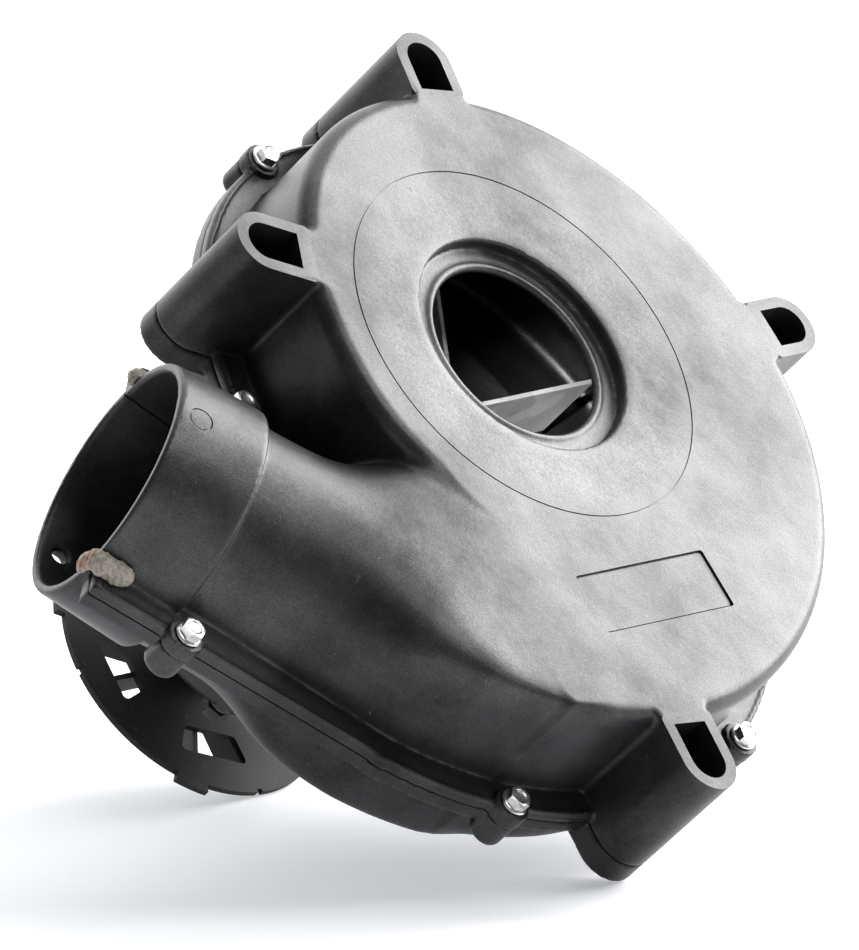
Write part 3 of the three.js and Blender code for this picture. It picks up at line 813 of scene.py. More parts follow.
def zinc_plate():
    """Clear-passivated zinc on the screws, clips, slinger and seal ring, with small dark specks and rubbed
    bright on the edges.
    """
    n = Nodes("zinc_plate")
    clouds = n.noise(160, 4, 0.6)
    fine = n.noise(1100, 2, 0.6)
    crest = n.edges(0.5, 0.93, 0.995)
    base = n.mix(n.fade(clouds, 0.35, 0.7), (0.52, 0.52, 0.50), (0.74, 0.74, 0.72))
    base = n.mix(n.times(crest, 0.6), base, (0.90, 0.90, 0.88))
    base = n.mix(n.ramp(fine, (0.68, 0.0), (0.76, 0.8)), base, (0.30, 0.28, 0.25))
    rough = n.scaled(clouds, 0.22, 0.18)
    return n.shade(Base_Color=base, Metallic=1.0, Roughness=rough, Normal=n.bump(fine, 0.2, 0.03))


def machined_steel():
    """Ground bar for the shaft, the impeller's insert and the motor's spacers, with fine rings around the
    turning axis.
    """
    n = Nodes("machined_steel")
    rings = n.noise(2600, 2, 0.5, (0.05, 0.05, 1.0))
    clouds = n.noise(90, 3, 0.5)
    base = n.mix(clouds, (0.42, 0.42, 0.42), (0.60, 0.60, 0.60))
    rough = n.scaled(clouds, 0.2, 0.2)
    return n.shade(Base_Color=base, Metallic=1.0, Roughness=rough, Normal=n.bump(rings, 0.2, 0.02))


def motor_paint():
    """Black enamel on pressed steel: slight orange peel, rubbed through to metal on its edges."""
    n = Nodes("motor_paint")
    peel = n.noise(420, 2, 0.5)
    clouds = n.noise(60, 4, 0.6)
    crest = n.edges(0.6, 0.90, 0.99)
    worn = n.times(crest, n.fade(n.noise(220, 3, 0.6), 0.50, 0.62))
    base = n.mix(n.fade(clouds, 0.3, 0.7), (0.012, 0.012, 0.013), (0.024, 0.024, 0.024))
    base = n.mix(worn, base, (0.30, 0.29, 0.28))
    rough = n.scaled(clouds, 0.22, 0.30)
    return n.shade(Base_Color=base, Metallic=n.times(worn, 0.8), Roughness=rough,
                   Normal=n.bump(peel, 0.25, 0.08))


def laminated_steel():
    """A stack of thin sheets seen edge on, blued by its anneal and lightly rusted."""
    n = Nodes("laminated_steel")
    _, _, z = n.position()
    sheets = n.math("FRACT", n.times(z, 1 / (SHEET_THICKNESS * MM)))
    groove = n.fade(sheets, 0.0, 0.16)
    clouds = n.noise(70, 4, 0.6)
    rust = n.fade(n.noise(120, 5, 0.65), 0.58, 0.70)
    base = n.mix(clouds, (0.15, 0.155, 0.175), (0.28, 0.28, 0.29))
    base = n.mix(n.times(rust, 0.55), base, (0.20, 0.10, 0.05))
    base = n.mix(groove, (0.04, 0.04, 0.045), base)
    metal = n.math("SUBTRACT", 0.9, n.times(rust, 0.6))
    rough = n.scaled(rust, 0.25, 0.42)
    return n.shade(Base_Color=base, Metallic=metal, Roughness=rough, Normal=n.bump(groove, 0.5, 0.12))


def enamelled_copper():
    """Wound wire under varnish, so it shows the turns and a warm gloss."""
    n = Nodes("enamelled_copper")
    wire = n.add("ShaderNodeTexWave", wave_type="BANDS", bands_direction="Z")
    wire.inputs["Scale"].default_value = 320
    wire.inputs["Distortion"].default_value = 1.2
    wire.inputs["Detail"].default_value = 1.0
    n.tree.links.new(n.place, wire.inputs["Vector"])
    turns = wire.outputs["Fac"]
    clouds = n.noise(90, 3, 0.5)
    base = n.mix(clouds, (0.40, 0.13, 0.05), (0.62, 0.24, 0.10))
    base = n.mix(n.ramp(turns, (0.0, 0.7), (0.35, 0.0)), base, (0.10, 0.03, 0.015))
    return n.shade(Base_Color=base, Metallic=0.55, Roughness=0.3, Coat_Weight=0.6,
                   Normal=n.bump(turns, 0.6, 0.3))


def bearing_bronze():
    n = Nodes("bearing_bronze")
    pores = n.noise(1500, 3, 0.7)
    clouds = n.noise(110, 3, 0.5)
    base = n.mix(clouds, (0.34, 0.21, 0.08), (0.48, 0.32, 0.14))
    base = n.mix(n.fade(pores, 0.62, 0.7), base, (0.09, 0.06, 0.03))
    return n.shade(Base_Color=base, Metallic=0.9, Roughness=0.42, Normal=n.bump(pores, 0.3, 0.04))


def seal_felt():
    n = Nodes("seal_felt")
    fibres = n.noise(900, 4, 0.7, (1.0, 1.0, 0.4))
    base = n.mix(fibres, (0.10, 0.09, 0.08), (0.30, 0.28, 0.25))
    return n.shade(Base_Color=base, Roughness=0.95, Normal=n.bump(fibres, 0.7, 0.35))


def gland_rubber():
    n = Nodes("gland_rubber")
    grain = n.noise(800, 3, 0.6)
    bloom = n.noise(120, 4, 0.6)
    base = n.mix(n.fade(bloom, 0.45, 0.75), (0.018, 0.018, 0.018), (0.06, 0.06, 0.058))
    return n.shade(Base_Color=base, Roughness=0.65, Normal=n.bump(grain, 0.35, 0.06))


def sealant():
    """Grey-beige silicone smeared over the parting line, stained with rust where it hangs over the rim."""
    n = Nodes("sealant")
    lumps = n.noise(260, 4, 0.6)
    fine = n.noise(900, 3, 0.6)
    x, y, _ = n.position()
    over_rim = n.scaled(x, -STAIN_FADE, STAIN_FADE * (PIPE_MOUTH_X - 0.8) * MM)
    outer = n.math("LESS_THAN", y, OUTLET_Y * MM)
    wet = n.plus(over_rim, n.times(n.math("SUBTRACT", lumps, 0.5), 2.2), clamp=True)
    stain = n.times(n.times(wet, outer), 0.8)
    base = n.mix(n.fade(fine, 0.3, 0.7), (0.15, 0.135, 0.11), (0.33, 0.30, 0.26))
    base = n.mix(stain, base, (0.24, 0.09, 0.03))
    relief = n.bump(fine, 0.4, 0.15)
    return n.shade(Base_Color=base, Roughness=0.5, Specular_IOR_Level=0.4,
                   Normal=n.bump(lumps, 0.5, 0.7, relief))


PLASTIC = black_plastic()
FAN_PLASTIC = fan_black_plastic()
IMPELLER_STEEL = galvanised_steel()
ZINC = zinc_plate()
MACHINED = machined_steel()
PAINT = motor_paint()
LAMINATED = laminated_steel()
COPPER = enamelled_copper()
BRONZE = bearing_bronze()
FELT = seal_felt()
RUBBER = gland_rubber()
SEALANT = sealant()


# ------------------------------------------------------------ housing

SCRIBED_DEPTH = 0.3
# x, y, radius and depth of the mark that an ejector pin left in the face
PIN_MARK = (-47.0, 33.0, 0.7, 0.12)
PIPE_MARK_X = -96.5
PIPE_MARK_RADIUS = 3.9
PIPE_MARK_DEPTH = 0.15


def label_pocket():
    """A sunken rectangle with a finer groove along its border."""
    half_length, half_height = LABEL["length"] / 2, LABEL["height"] / 2

    def plate(name, inset, low):
        return prism(name, rounded_rectangle(half_length - inset, half_height - inset, 1.0), low, 1)

    pocket = plate("pocket", 0, -LABEL["depth"] - 0.35)
    cut(pocket, [plate("pocket_floor", 0.6, -9)])
    joined(pocket, [plate("pocket_top", 0, -LABEL["depth"])])
    return moved(pocket, LABEL["angle"], LABEL["x"], LABEL["y"])


def post_slots(low, high):
    """Cutters for the four slots, each with a round outer end and a square inner one."""
    slots = []
    for index, (x, y, angle, reach) in enumerate(POSTS):
        arc = [polar(POST_SLOT, turn) for turn in np.linspace(-90, 90, 33)]
        outline = arc + [(-reach, POST_SLOT), (-reach, -POST_SLOT)]
        slots.append(moved(prism(f"post_slot_{index}", outline, low, high), angle, x, y))
    return slots


def pipe_mark():
    """A shallow round groove on top of the pipe."""
    top = PARTING_Z + PIPE_RADIUS
    ring = tube("pipe_mark", PIPE_MARK_RADIUS - 0.5, PIPE_MARK_RADIUS, top - PIPE_MARK_DEPTH, top + 3)
    return moved(ring, 0, PIPE_MARK_X, OUTLET_Y - 1.5)


def front_housing():
    """The front half. The posts are made too long and the spare is sawn off, which leaves their ends flat."""
    made = housing_mesh("front_shell", front_distance, PARTING_Z, POST_SPARE)
    x, y, radius, depth = PIN_MARK
    tools = [moved(cylinder("pin_mark", radius, -depth, 1, 48), 0, x, y)]
    tools += post_slots(-60.0, 9.0) + [
        box("spare", (-150, -200, 0.02), (150, 150, 8)),
        label_pocket(),
        tube("scribed_circle", SCRIBED_RADIUS - 0.25, SCRIBED_RADIUS + 0.25, -SCRIBED_DEPTH, 1, 240),
        pipe_mark(),
    ]
    cut(made, tools)
    return finished(made, PLASTIC, HOUSING, ["front_housing"], sharp=42)


def rear_housing():
    made = housing_mesh("rear_shell", rear_distance, PARTING_Z - PIPE_SHOULDER, PARTING_Z)
    cut(made, post_slots(POST_END + POST_FLOOR, 9.0))
    return finished(made, PLASTIC, HOUSING, ["rear_housing"], sharp=42)


front_housing()
rear_housing()


# ------------------------------------------------------------ screws and sealant

SCREW_SEAT = BOSS_TOP + GAP
SCREW_FLATS = 6.35
SCREW_HEAD = 3.7
SCREW_WASHER = 4.4
SCREW_WASHER_THICKNESS = 0.9
SCREW_SHANK = 1.55
SCREW_LENGTH = 11.4
SCREW_POINT = 2.0
SCREW_TURNS = [12, 40, 25, 5, 33, 18, 47]
THREAD_PITCH = 1.4
THREAD_DEPTH = 0.25


def hexagon(flats):
    return [polar(flats / math.sqrt(3), 60 * index) for index in range(6)]


def chamfer_cone(top, corner):
    """What is left of a hexagon's corners after its top has been turned to a cone."""
    return [(0, top - 8), (corner + 1, top - 8), (corner + 1, top - 0.75), (corner - 0.5, top), (0, top)]


def thread(shank, low, high, pitch, depth):
    """A shank with thread ridges, from its point up."""
    profile = [(0, low), (0.25 * shank, low), (shank, low + SCREW_POINT)]
    height = low + SCREW_POINT
    while height + pitch < high:
        profile += [(shank, height + 0.35 * pitch), (shank + depth, height + 0.5 * pitch),
                    (shank, height + 0.65 * pitch)]
        height += pitch
    return profile + [(shank, high), (0, high)]


def housing_screw():
    """A hex washer-head screw: chamfered hexagon with a dished top, domed washer, threaded shank."""
    top, rim, thickness = SCREW_HEAD, SCREW_WASHER, SCREW_WASHER_THICKNESS
    head = prism("head", hexagon(SCREW_FLATS), 0.3, top)
    cone = revolve("cone", chamfer_cone(top, SCREW_FLATS / math.sqrt(3)), 48)
    head = combine(head, [cone], "INTERSECT")
    dish = revolve("dish", [(0, top - 0.4), (1.6, top - 0.35), (2.2, top - 0.2), (2.45, top + 0.01),
                            (2.45, top + 1), (0, top + 1)], 40)
    cut(head, [dish])
    washer = revolve("washer", [(0, 0), (rim - 0.15, 0), (rim, 0.2), (rim, thickness - 0.35),
                                (rim - 0.25, thickness - 0.1), (3.4, thickness + 0.15),
                                (0, thickness + 0.15)], 48)
    shank = revolve("shank", thread(SCREW_SHANK, -SCREW_LENGTH, 0.1, THREAD_PITCH, THREAD_DEPTH), 24)
    return joined(head, [washer, shank])


def housing_screws():
    master = housing_screw()
    for index, (x, y) in enumerate(screw_places()):
        screw = duplicate(master, f"screw_{index + 1}")
        moved(screw, SCREW_TURNS[index], x, y, SCREW_SEAT)
        finished(screw, ZINC, HOUSING, [f"housing_screw_{index + 1}"], bevel=0.12, sharp=28)
    bpy.data.objects.remove(master)



# Each lump is a middle and the three radii of an ellipsoid. y counts away from the pipe.
OUTER_LUMPS = [
    ((-4.6, -1.2, -2.0), (2.0, 3.0, 5.0)),
    ((-5.0, -2.6, -4.4), (1.6, 2.4, 2.6)),
    ((-2.0, 1.0, 0.8), (3.4, 3.6, 4.0)),
    ((2.6, 0.8, 0.6), (4.4, 3.6, 4.2)),
    ((6.0, 0.4, 1.0), (2.6, 2.6, 3.0)),
]
INNER_LUMPS = [
    ((-3.2, 0.6, 0.4), (3.2, 3.0, 3.0)),
    ((1.0, 0.6, 0.8), (3.8, 3.0, 3.2)),
    ((4.6, 0.2, 1.6), (2.4, 2.4, 2.6)),
]
SEALANT_REACH = 9.0
SEALANT_FILLET = 1.5
SEALANT_WAVES = 0.28


def sealant_dab(name, sideways, lumps, node):
    """A smear of sealant over the joint and the pipe's rim."""
    middle = [PIPE_MOUTH_X + 4, OUTLET_Y + sideways * (PIPE_RADIUS + 0.5), PARTING_Z + FLANGE_FRONT + 1]
    step = 0.25
    places = np.arange(int(2 * SEALANT_REACH / step))
    axes = [start - SEALANT_REACH + step * places for start in middle]
    x, y, z = axes[0][:, None, None], axes[1][None, :, None], axes[2][None, None, :]
    field = np.full((len(axes[0]), len(axes[1]), len(axes[2])), 99.0)
    for (lx, ly, lz), (rx, ry, rz) in lumps:
        dx = (x - middle[0] - lx) / rx
        dy = (y - middle[1] - sideways * ly) / ry
        dz = (z - middle[2] - lz) / rz
        lump = (np.sqrt(dx * dx + dy * dy + dz * dz) - 1) * min(rx, ry, rz)
        field = blend_union(field, lump, SEALANT_FILLET)
    field = field + SEALANT_WAVES * np.sin(1.9 * x + 0.7 * z) * np.sin(1.7 * y) * np.cos(1.3 * z + 0.8 * x)
    radial = np.hypot(y - OUTLET_Y, z - PARTING_Z)
    radius = lerp(PIPE_RADIUS, PIPE_SHOULDER, (x - PIPE_MOUTH_X) / (PIPE_SHOULDER_X - PIPE_MOUTH_X))
    in_pipe = np.minimum(radius + 0.1 - radial, x - PIPE_MOUTH_X + 0.1)
    in_rib = np.minimum(PARTING_Z + FLANGE_FRONT + 0.1 - z, x - PIPE_MOUTH_X + 0.1)
    field = np.maximum(field, np.maximum(in_pipe, in_rib))
    points, faces = surface_of(field, np.array([axis[0] for axis in axes]), step)
    return finished(mesh_object(name, points, faces), SEALANT, HOUSING, [node], sharp=60)


housing_screws()
sealant_dab("smear_outer", -1, OUTER_LUMPS, "sealant_outer")
sealant_dab("smear_inner", 1, INNER_LUMPS, "sealant_inner")


# ------------------------------------------------------------ rotating group

SHAFT_RADIUS = 3.17
SHAFT_FRONT = -41.0
SHAFT_END = -182.5

IMPELLER_RADIUS = 65.0
BLADE_ROOT = 12.0
BLADE_COUNT = 6
BLADE_THICKNESS = 1.4
FIRST_BLADE = 46.0
BLADE_FRONT = -36.0
PLATE_Z = -64.5
PLATE_THICKNESS = 1.5
IMPELLER_HUB = 12.5
HUB_FRONT = -52.0
HUB_END = -68.0
HUB_BORE = 8.3
INSERT_RADIUS = 8.0
INSERT_FRONT = -44.0
INSERT_END = -69.0
CLIP_INNER = 8.3
CLIP_OUTER = 9.8
CLIP_WIDTH = 5.0
CLIP_OPENING = 24.0

SLINGER_RADIUS = 31.0
SLINGER_HUB = 8.0
SLINGER_Z = -84.0
SLINGER_THICKNESS = 1.2
SLINGER_HUB_LENGTH = 7.0
SLINGER_VANES = 8
SLINGER_VANE_HEIGHT = 3.0

CAGE_RADIUS = 22.5
CAGE_RING_RADIUS = 20.0
CAGE_RING_DEPTH = 3.0

FAN_RADIUS = 48.3
FAN_Z = -174.0
FAN_THICKNESS = 2.0
FAN_HUB = 9.5
FAN_HUB_FRONT = -160.0
FAN_END = -184.0
FAN_WINDOWS = {"count": 5, "inner": 28, "outer": 38, "span": 38, "angle": -69}
FAN_BLADES = {"count": 13, "inner": 9, "outer": 37.5, "thickness": 1.8, "angle": -51.5}
FAN_TABS = {"count": 4, "radius": 51.2, "span": 13, "angle": -81.5}
FAN_NOTCHES = {"radius": 47.2, "span": 2.4, "offset": 31}


def motor_shaft():
    made = revolve("shaft", chamfered(0, SHAFT_RADIUS, SHAFT_END, SHAFT_FRONT, 0.5), 64)
    return finished(made, MACHINED, ROTOR, ["motor_shaft"])


def impeller_blade():
    """A straight blade standing on a foot that is folded over onto the disc and riveted."""
    side = BLADE_THICKNESS / 2
    low, tip, notch = PLATE_Z - 0.3, IMPELLER_RADIUS - 0.3, IMPELLER_HUB + 1
    outline = [(BLADE_ROOT, low), (tip, low), (tip, BLADE_FRONT),
               (notch, BLADE_FRONT), (notch, HUB_FRONT - 1), (BLADE_ROOT, HUB_FRONT - 1)]
    blade = upright(prism("blade", outline, -side, side))
    foot = box("foot", (20, -side, PLATE_Z - 0.2), (IMPELLER_RADIUS - 3, 7, PLATE_Z + 1.2))
    rivets = [moved(revolve(f"rivet_{reach}", [(0, 0.8), (2.2, 0.8), (2.0, 1.5), (1.2, 2.1), (0, 2.3)], 20),
                    0, reach, 4, PLATE_Z) for reach in (27, 41, 55)]
    return joined(blade, [foot] + rivets)


def impeller():
    rim = IMPELLER_RADIUS
    low, high = PLATE_Z - PLATE_THICKNESS, PLATE_Z
    raised = [(24, high), (22, high + 1), (IMPELLER_HUB, high + 1), (0, high + 1)]
    disc = revolve("disc", chamfered(0, rim, low, high, 0.5)[:-1] + raised, 128)
    hub = revolve("hub", chamfered(0, IMPELLER_HUB, HUB_END, HUB_FRONT, 0.6), 64)
    joined(disc, [hub] + ring_of(impeller_blade(), BLADE_COUNT, FIRST_BLADE))
    cut(disc, [bore(HUB_BORE)])
    disc.name = "paddle_impeller"
    return finished(disc, IMPELLER_STEEL, ROTOR, ["impeller"], bevel=0.25, sharp=30)


def impeller_insert():
    made = revolve("insert", [(SHAFT_BORE, INSERT_END), (INSERT_RADIUS - 0.5, INSERT_END),
                              (INSERT_RADIUS, INSERT_END + 0.5), (INSERT_RADIUS, INSERT_FRONT - 0.8),
                              (INSERT_RADIUS - 0.8, INSERT_FRONT), (SHAFT_BORE + 0.5, INSERT_FRONT),
                              (SHAFT_BORE, INSERT_FRONT - 0.5)], 64)
    slots = [box(f"slit_{axis}", (-10 if axis else -0.5, -0.5 if axis else -10, -50),
                 (10 if axis else 0.5, 0.5 if axis else 10, 0)) for axis in range(2)]
    cut(made, slots)
    return finished(made, MACHINED, ROTOR, ["impeller_insert"])


def spring_band(name, inner, outer, high, node):
    """A split band."""
    band = sector(inner, outer, CLIP_OPENING / 2, 360 - CLIP_OPENING, 72)
    made = prism(name, band, high - CLIP_WIDTH, high)
    return finished(made, ZINC, ROTOR, [node], bevel=0.2, sharp=40)


def impeller_clip():
    return spring_band("insert_band", CLIP_INNER, CLIP_OUTER, INSERT_FRONT - 1, "impeller_clip")


def fan_clip():
    return spring_band("fan_band", FAN_HUB + GAP, FAN_HUB + 1.6, FAN_HUB_FRONT - 1, "fan_clip")


def heat_slinger():
    side = SLINGER_THICKNESS / 2
    low, high = SLINGER_Z - SLINGER_THICKNESS, SLINGER_Z
    top = SLINGER_Z + SLINGER_VANE_HEIGHT
    disc = revolve("slinger", chamfered(0, SLINGER_RADIUS, low, high, 0.4))
    hub = cylinder("slinger_hub", SLINGER_HUB, top - SLINGER_HUB_LENGTH, top)
    vane = box("vane", (SLINGER_HUB - 1, -side, SLINGER_Z - 0.2), (SLINGER_RADIUS - 2, side, top))
    joined(disc, [hub] + ring_of(vane, SLINGER_VANES))
    cut(disc, [bore(SHAFT_BORE)])
    return finished(disc, ZINC, ROTOR, ["heat_slinger"], bevel=0.25, sharp=30)


def rotor_core():
    """The squirrel cage: a laminated drum between two end rings."""
    outer, inner = CAGE_RADIUS, CAGE_RING_RADIUS
    high, low = STACK_FRONT + CAGE_RING_DEPTH, STACK_END - CAGE_RING_DEPTH
    made = revolve("squirrel_cage", [
        (SHAFT_BORE, high), (inner - 0.8, high), (inner, high - 0.8), (inner, STACK_FRONT),
        (outer, STACK_FRONT), (outer, STACK_END),
        (inner, STACK_END), (inner, low + 0.8), (inner - 0.8, low), (SHAFT_BORE, low),
    ])
    return finished(made, LAMINATED, ROTOR, ["rotor_core"])


def fan_blade():
    low, high = FAN_END, FAN_Z - FAN_THICKNESS / 2
    inner, outer, side = FAN_BLADES["inner"] - 1, FAN_BLADES["outer"], FAN_BLADES["thickness"] / 2
    outline = [(inner, low), (outer - 0.6, low), (outer, low + 0.6), (outer, high), (inner, high)]
    return upright(prism("fan_blade", outline, -side, side))


def cooling_fan():
    """A moulded disc with windows, a tabbed rim, and blades on its far side."""
    low, high = FAN_Z - FAN_THICKNESS, FAN_Z
    tabs, gaps = FAN_TABS, FAN_NOTCHES
    disc = cylinder("fan_disc", FAN_RADIUS, low, high, 144)
    tab = sector(FAN_RADIUS - 2, tabs["radius"], -tabs["span"] / 2, tabs["span"])
    joined(disc, ring_of(prism("tab", tab, low, high), tabs["count"], tabs["angle"]))
    notch = sector(gaps["radius"], FAN_RADIUS + 3, -gaps["span"] / 2, gaps["span"], 4)
    notches = ring_of(prism("notch", notch, low - 1, high + 1), tabs["count"], tabs["angle"] + gaps["offset"])
    opening = rounded_sector(FAN_WINDOWS["inner"], FAN_WINDOWS["outer"], FAN_WINDOWS["span"], 1.6)
    windows = ring_of(prism("window", opening, low - 1, high + 1), FAN_WINDOWS["count"], FAN_WINDOWS["angle"])
    cut(disc, notches + windows)
    top = FAN_HUB_FRONT
    cone = revolve("fan_cone", [(0, top), (FAN_HUB - 0.5, top), (FAN_HUB, top - 0.5), (FAN_HUB, FAN_Z + 4),
                                (FAN_HUB + 1.2, FAN_Z + 2.2), (FAN_HUB + 4, FAN_Z + 0.8),
                                (FAN_HUB + 9, FAN_Z - 0.5), (0, FAN_Z - 0.5)], 72)
    hub = cylinder("fan_hub", FAN_HUB, FAN_END, FAN_Z, 72)
    joined(disc, [cone, hub] + ring_of(fan_blade(), FAN_BLADES["count"], FAN_BLADES["angle"]))
    cut(disc, [bore(SHAFT_BORE)])
    return finished(disc, FAN_PLASTIC, ROTOR, ["cooling_fan"], bevel=0.3, sharp=30)


# ------------------------------------------------------------ shaft seal and motor

MOTOR_RADIUS = 42.0
MOTOR_FRONT = -93.0
BELL_DEPTH = 15.0
BELL_WALL = 2.4
STACK_FRONT = -108.3
STACK_END = -136.3
MOTOR_END = -151.6
VENT = {"inner": 17, "outer": 28, "span": 30, "count": 4, "angle": 45}
BEARING_RADIUS = 7.5
BEARING_LENGTH = 11.0
BEARING_BOSS = 11.5
STATOR_YOKE = 33.0
STATOR_BORE = 23.0
POLE_WIDTH = 14.0
POLES = 4
FIRST_POLE = 45.0
WELD_GROOVE = 1.2
COIL_THICKNESS = 4.5
COIL_INNER = 24.6
COIL_OUTER = 30.3
COIL_OVERHANG = 0.5
BOLT_RADIUS = 2.0
BOLT_FLATS = 8.0
BOLT_HEAD = 3.5
BOLT_REACH = 2.0
SPACER_OUTER = 5.0
SPACER_INNER = 2.4
SEAL_RADIUS = 15.0
SEAL_THICKNESS = 2.5
GLAND = {"radius": 5, "bore": 2.8, "flange": 6.5, "angle": 100}


def shaft_seal():
    top = BACK_Z + SEAL_POCKET_DEPTH - GAP
    made = tube("felt_seal", SHAFT_BORE + GAP, SEAL_RADIUS, top - SEAL_THICKNESS, top)
    return finished(made, FELT, HOUSING, ["shaft_seal"], bevel=0.5)


def seal_ring():
    top = BACK_Z + SEAL_POCKET_DEPTH - 2 * GAP - SEAL_THICKNESS
    made = tube("felt_ring", 9, 21, top - 1, top)
    holes = ring_of(moved(cylinder("ring_hole", 1.6, top - 3, top + 2, 24), 0, 18), 3, 30)
    cut(made, holes)
    return finished(made, ZINC, HOUSING, ["seal_ring"], bevel=0.2)


def on_bolt_circle(made):
    return ring_of(moved(made, 0, BOLT_CIRCLE), BOLT_COUNT)


def end_bell(name):
    """A pressed cup that opens towards -Z: rounded shoulder, bearing boss, four columns and vents."""
    radius, wall = MOTOR_RADIUS, BELL_WALL
    shoulder = [(radius - 5 * (1 - math.sin(turn)), -5 * (1 - math.cos(turn)))
                for turn in np.linspace(0, math.pi / 2, 9)]
    inner = [(radius - wall - 3.5 * (1 - math.sin(turn)), -wall - 3.5 * (1 - math.cos(turn)))
             for turn in np.linspace(math.pi / 2, 0, 7)]
    cup = revolve(name, [(0, 0)] + shoulder + [(radius, -BELL_DEPTH), (radius - wall, -BELL_DEPTH)]
                  + inner + [(0, -wall)], 128)
    boss = revolve("boss", [(0, -BEARING_LENGTH), (BEARING_BOSS, -BEARING_LENGTH), (BEARING_BOSS, 0.5),
                            (BEARING_BOSS - 1.5, 2), (0, 2)], 64)
    collar = revolve("collar", [(0, -0.5), (BEARING_BOSS + 2.5, -0.5), (BEARING_BOSS + 1.5, 0.5),
                                (BEARING_BOSS - 0.5, 1), (0, 1)], 64)
    column = cylinder("column", BOLT_HOLE + 2.2, -BELL_DEPTH, -wall / 2, 32)
    joined(cup, [boss, collar] + on_bolt_circle(column))
    slot = sector(VENT["inner"], VENT["outer"], -VENT["span"] / 2, VENT["span"])
    vents = ring_of(prism("vent", slot, -wall - 1, 1), VENT["count"], VENT["angle"])
    bolt_holes = on_bolt_circle(cylinder("bolt_hole", BOLT_HOLE, -40, 10, 32))
    return cut(cup, vents + bolt_holes + [cylinder("bearing_seat", BEARING_RADIUS + GAP, -40, 10)])


def front_end_bell():
    made = moved(end_bell("front_bell"), z=MOTOR_FRONT)
    return finished(made, PAINT, HOUSING, ["front_end_bell"], bevel=0.25)


def turned_to_side(made, angle, z):
    """Lays a piece that was made around Z on its side at height z, so that it points outwards at angle."""
    turn = Matrix.Rotation(math.radians(angle), 4, "Z") @ Matrix.Rotation(math.radians(90), 4, "Y")
    made.data.transform(Matrix.Translation((0, 0, z * MM)) @ turn)
    return made


def rear_end_bell():
    made = end_bell("rear_bell")
    made.data.transform(Matrix.Diagonal((1, 1, -1, 1)))
    made.data.flip_normals()
    moved(made, z=MOTOR_END)
    hole = cylinder("lead_hole", GLAND["radius"] + GAP, 0, 60, 40)
    cut(made, [turned_to_side(hole, GLAND["angle"], MOTOR_END + BELL_DEPTH / 2 + 1)])
    return finished(made, PAINT, HOUSING, ["rear_end_bell"], bevel=0.25)


def bearing(name, high, node):
    low = high - BEARING_LENGTH
    made = revolve(name, chamfered(SHAFT_BORE, BEARING_RADIUS, low, high, 0.6), 64)
    return finished(made, BRONZE, HOUSING, [node])


def stator_core():
    made = tube("lamination_stack", STATOR_YOKE, MOTOR_RADIUS - 0.5, STACK_END, STACK_FRONT, 144)
    side = POLE_WIDTH / 2
    pole = box("pole", (STATOR_BORE - 1, -side, STACK_END), (STATOR_YOKE + 2, side, STACK_FRONT))
    shoe = prism("shoe", sector(STATOR_BORE, STATOR_BORE + 1.1, -32, 64, 32), STACK_END, STACK_FRONT)
    joined(made, ring_of(pole, POLES, FIRST_POLE) + ring_of(shoe, POLES, FIRST_POLE))
    grooves = ring_of(moved(bore(WELD_GROOVE, 24), 0, MOTOR_RADIUS), 8, 22.5)
    cut(made, [bore(STATOR_BORE, 144)] + on_bolt_circle(bore(BOLT_HOLE, 32)) + grooves)
    return finished(made, LAMINATED, HOUSING, ["stator_core"])


def coil(name, angle, node):
    """A winding: a rounded rectangular loop around one pole."""
    side = POLE_WIDTH / 2 + GAP
    half = (STACK_FRONT - STACK_END) / 2 + COIL_OVERHANG
    loop = rounded_rectangle(side + COIL_THICKNESS, half + COIL_THICKNESS, 4)
    made = prism(name, loop, COIL_INNER, COIL_OUTER)
    cut(made, [prism("coil_hole", rounded_rectangle(side, half, 0.6), 0, 60)])
    made.data.transform(Matrix(((0, 0, 1, 0), (1, 0, 0, 0), (0, 1, 0, 0), (0, 0, 0, 1))))
    moved(made, angle, z=(STACK_FRONT + STACK_END) / 2)
    return finished(made, COPPER, HOUSING, [node], bevel=1.1, sharp=50, segments=3)


def through_bolt():
    seat, flat = MOTOR_END - GAP, BOLT_FLATS / 2
    low = seat - BOLT_HEAD
    head = prism("bolt_head", hexagon(BOLT_FLATS), low, seat)
    cone = revolve("bolt_cone", [(0, low), (flat, low), (flat + 1.5, low + 0.8),
                                 (flat + 1.5, seat + 1), (0, seat + 1)], 48)
    head = combine(head, [cone], "INTERSECT")
    return joined(head, [cylinder("bolt_shank", BOLT_RADIUS, seat - 0.1, BACK_Z + BOLT_REACH, 32)])


def motor_bolts():
    bolt = through_bolt()
    sleeve = tube("sleeve", SPACER_INNER, SPACER_OUTER, MOTOR_FRONT + GAP, BACK_Z - 2 - GAP, 48)
    for index, (x, y) in enumerate(bolt_places()):
        one = moved(duplicate(bolt, f"long_bolt_{index + 1}"), 15 * index, x, y)
        finished(one, PAINT, HOUSING, [f"through_bolt_{index + 1}"], bevel=0.15, sharp=28)
        other = moved(duplicate(sleeve, f"sleeve_{index + 1}"), 0, x, y)
        finished(other, MACHINED, HOUSING, [f"motor_spacer_{index + 1}"], bevel=0.3)
    bpy.data.objects.remove(bolt)
    bpy.data.objects.remove(sleeve)


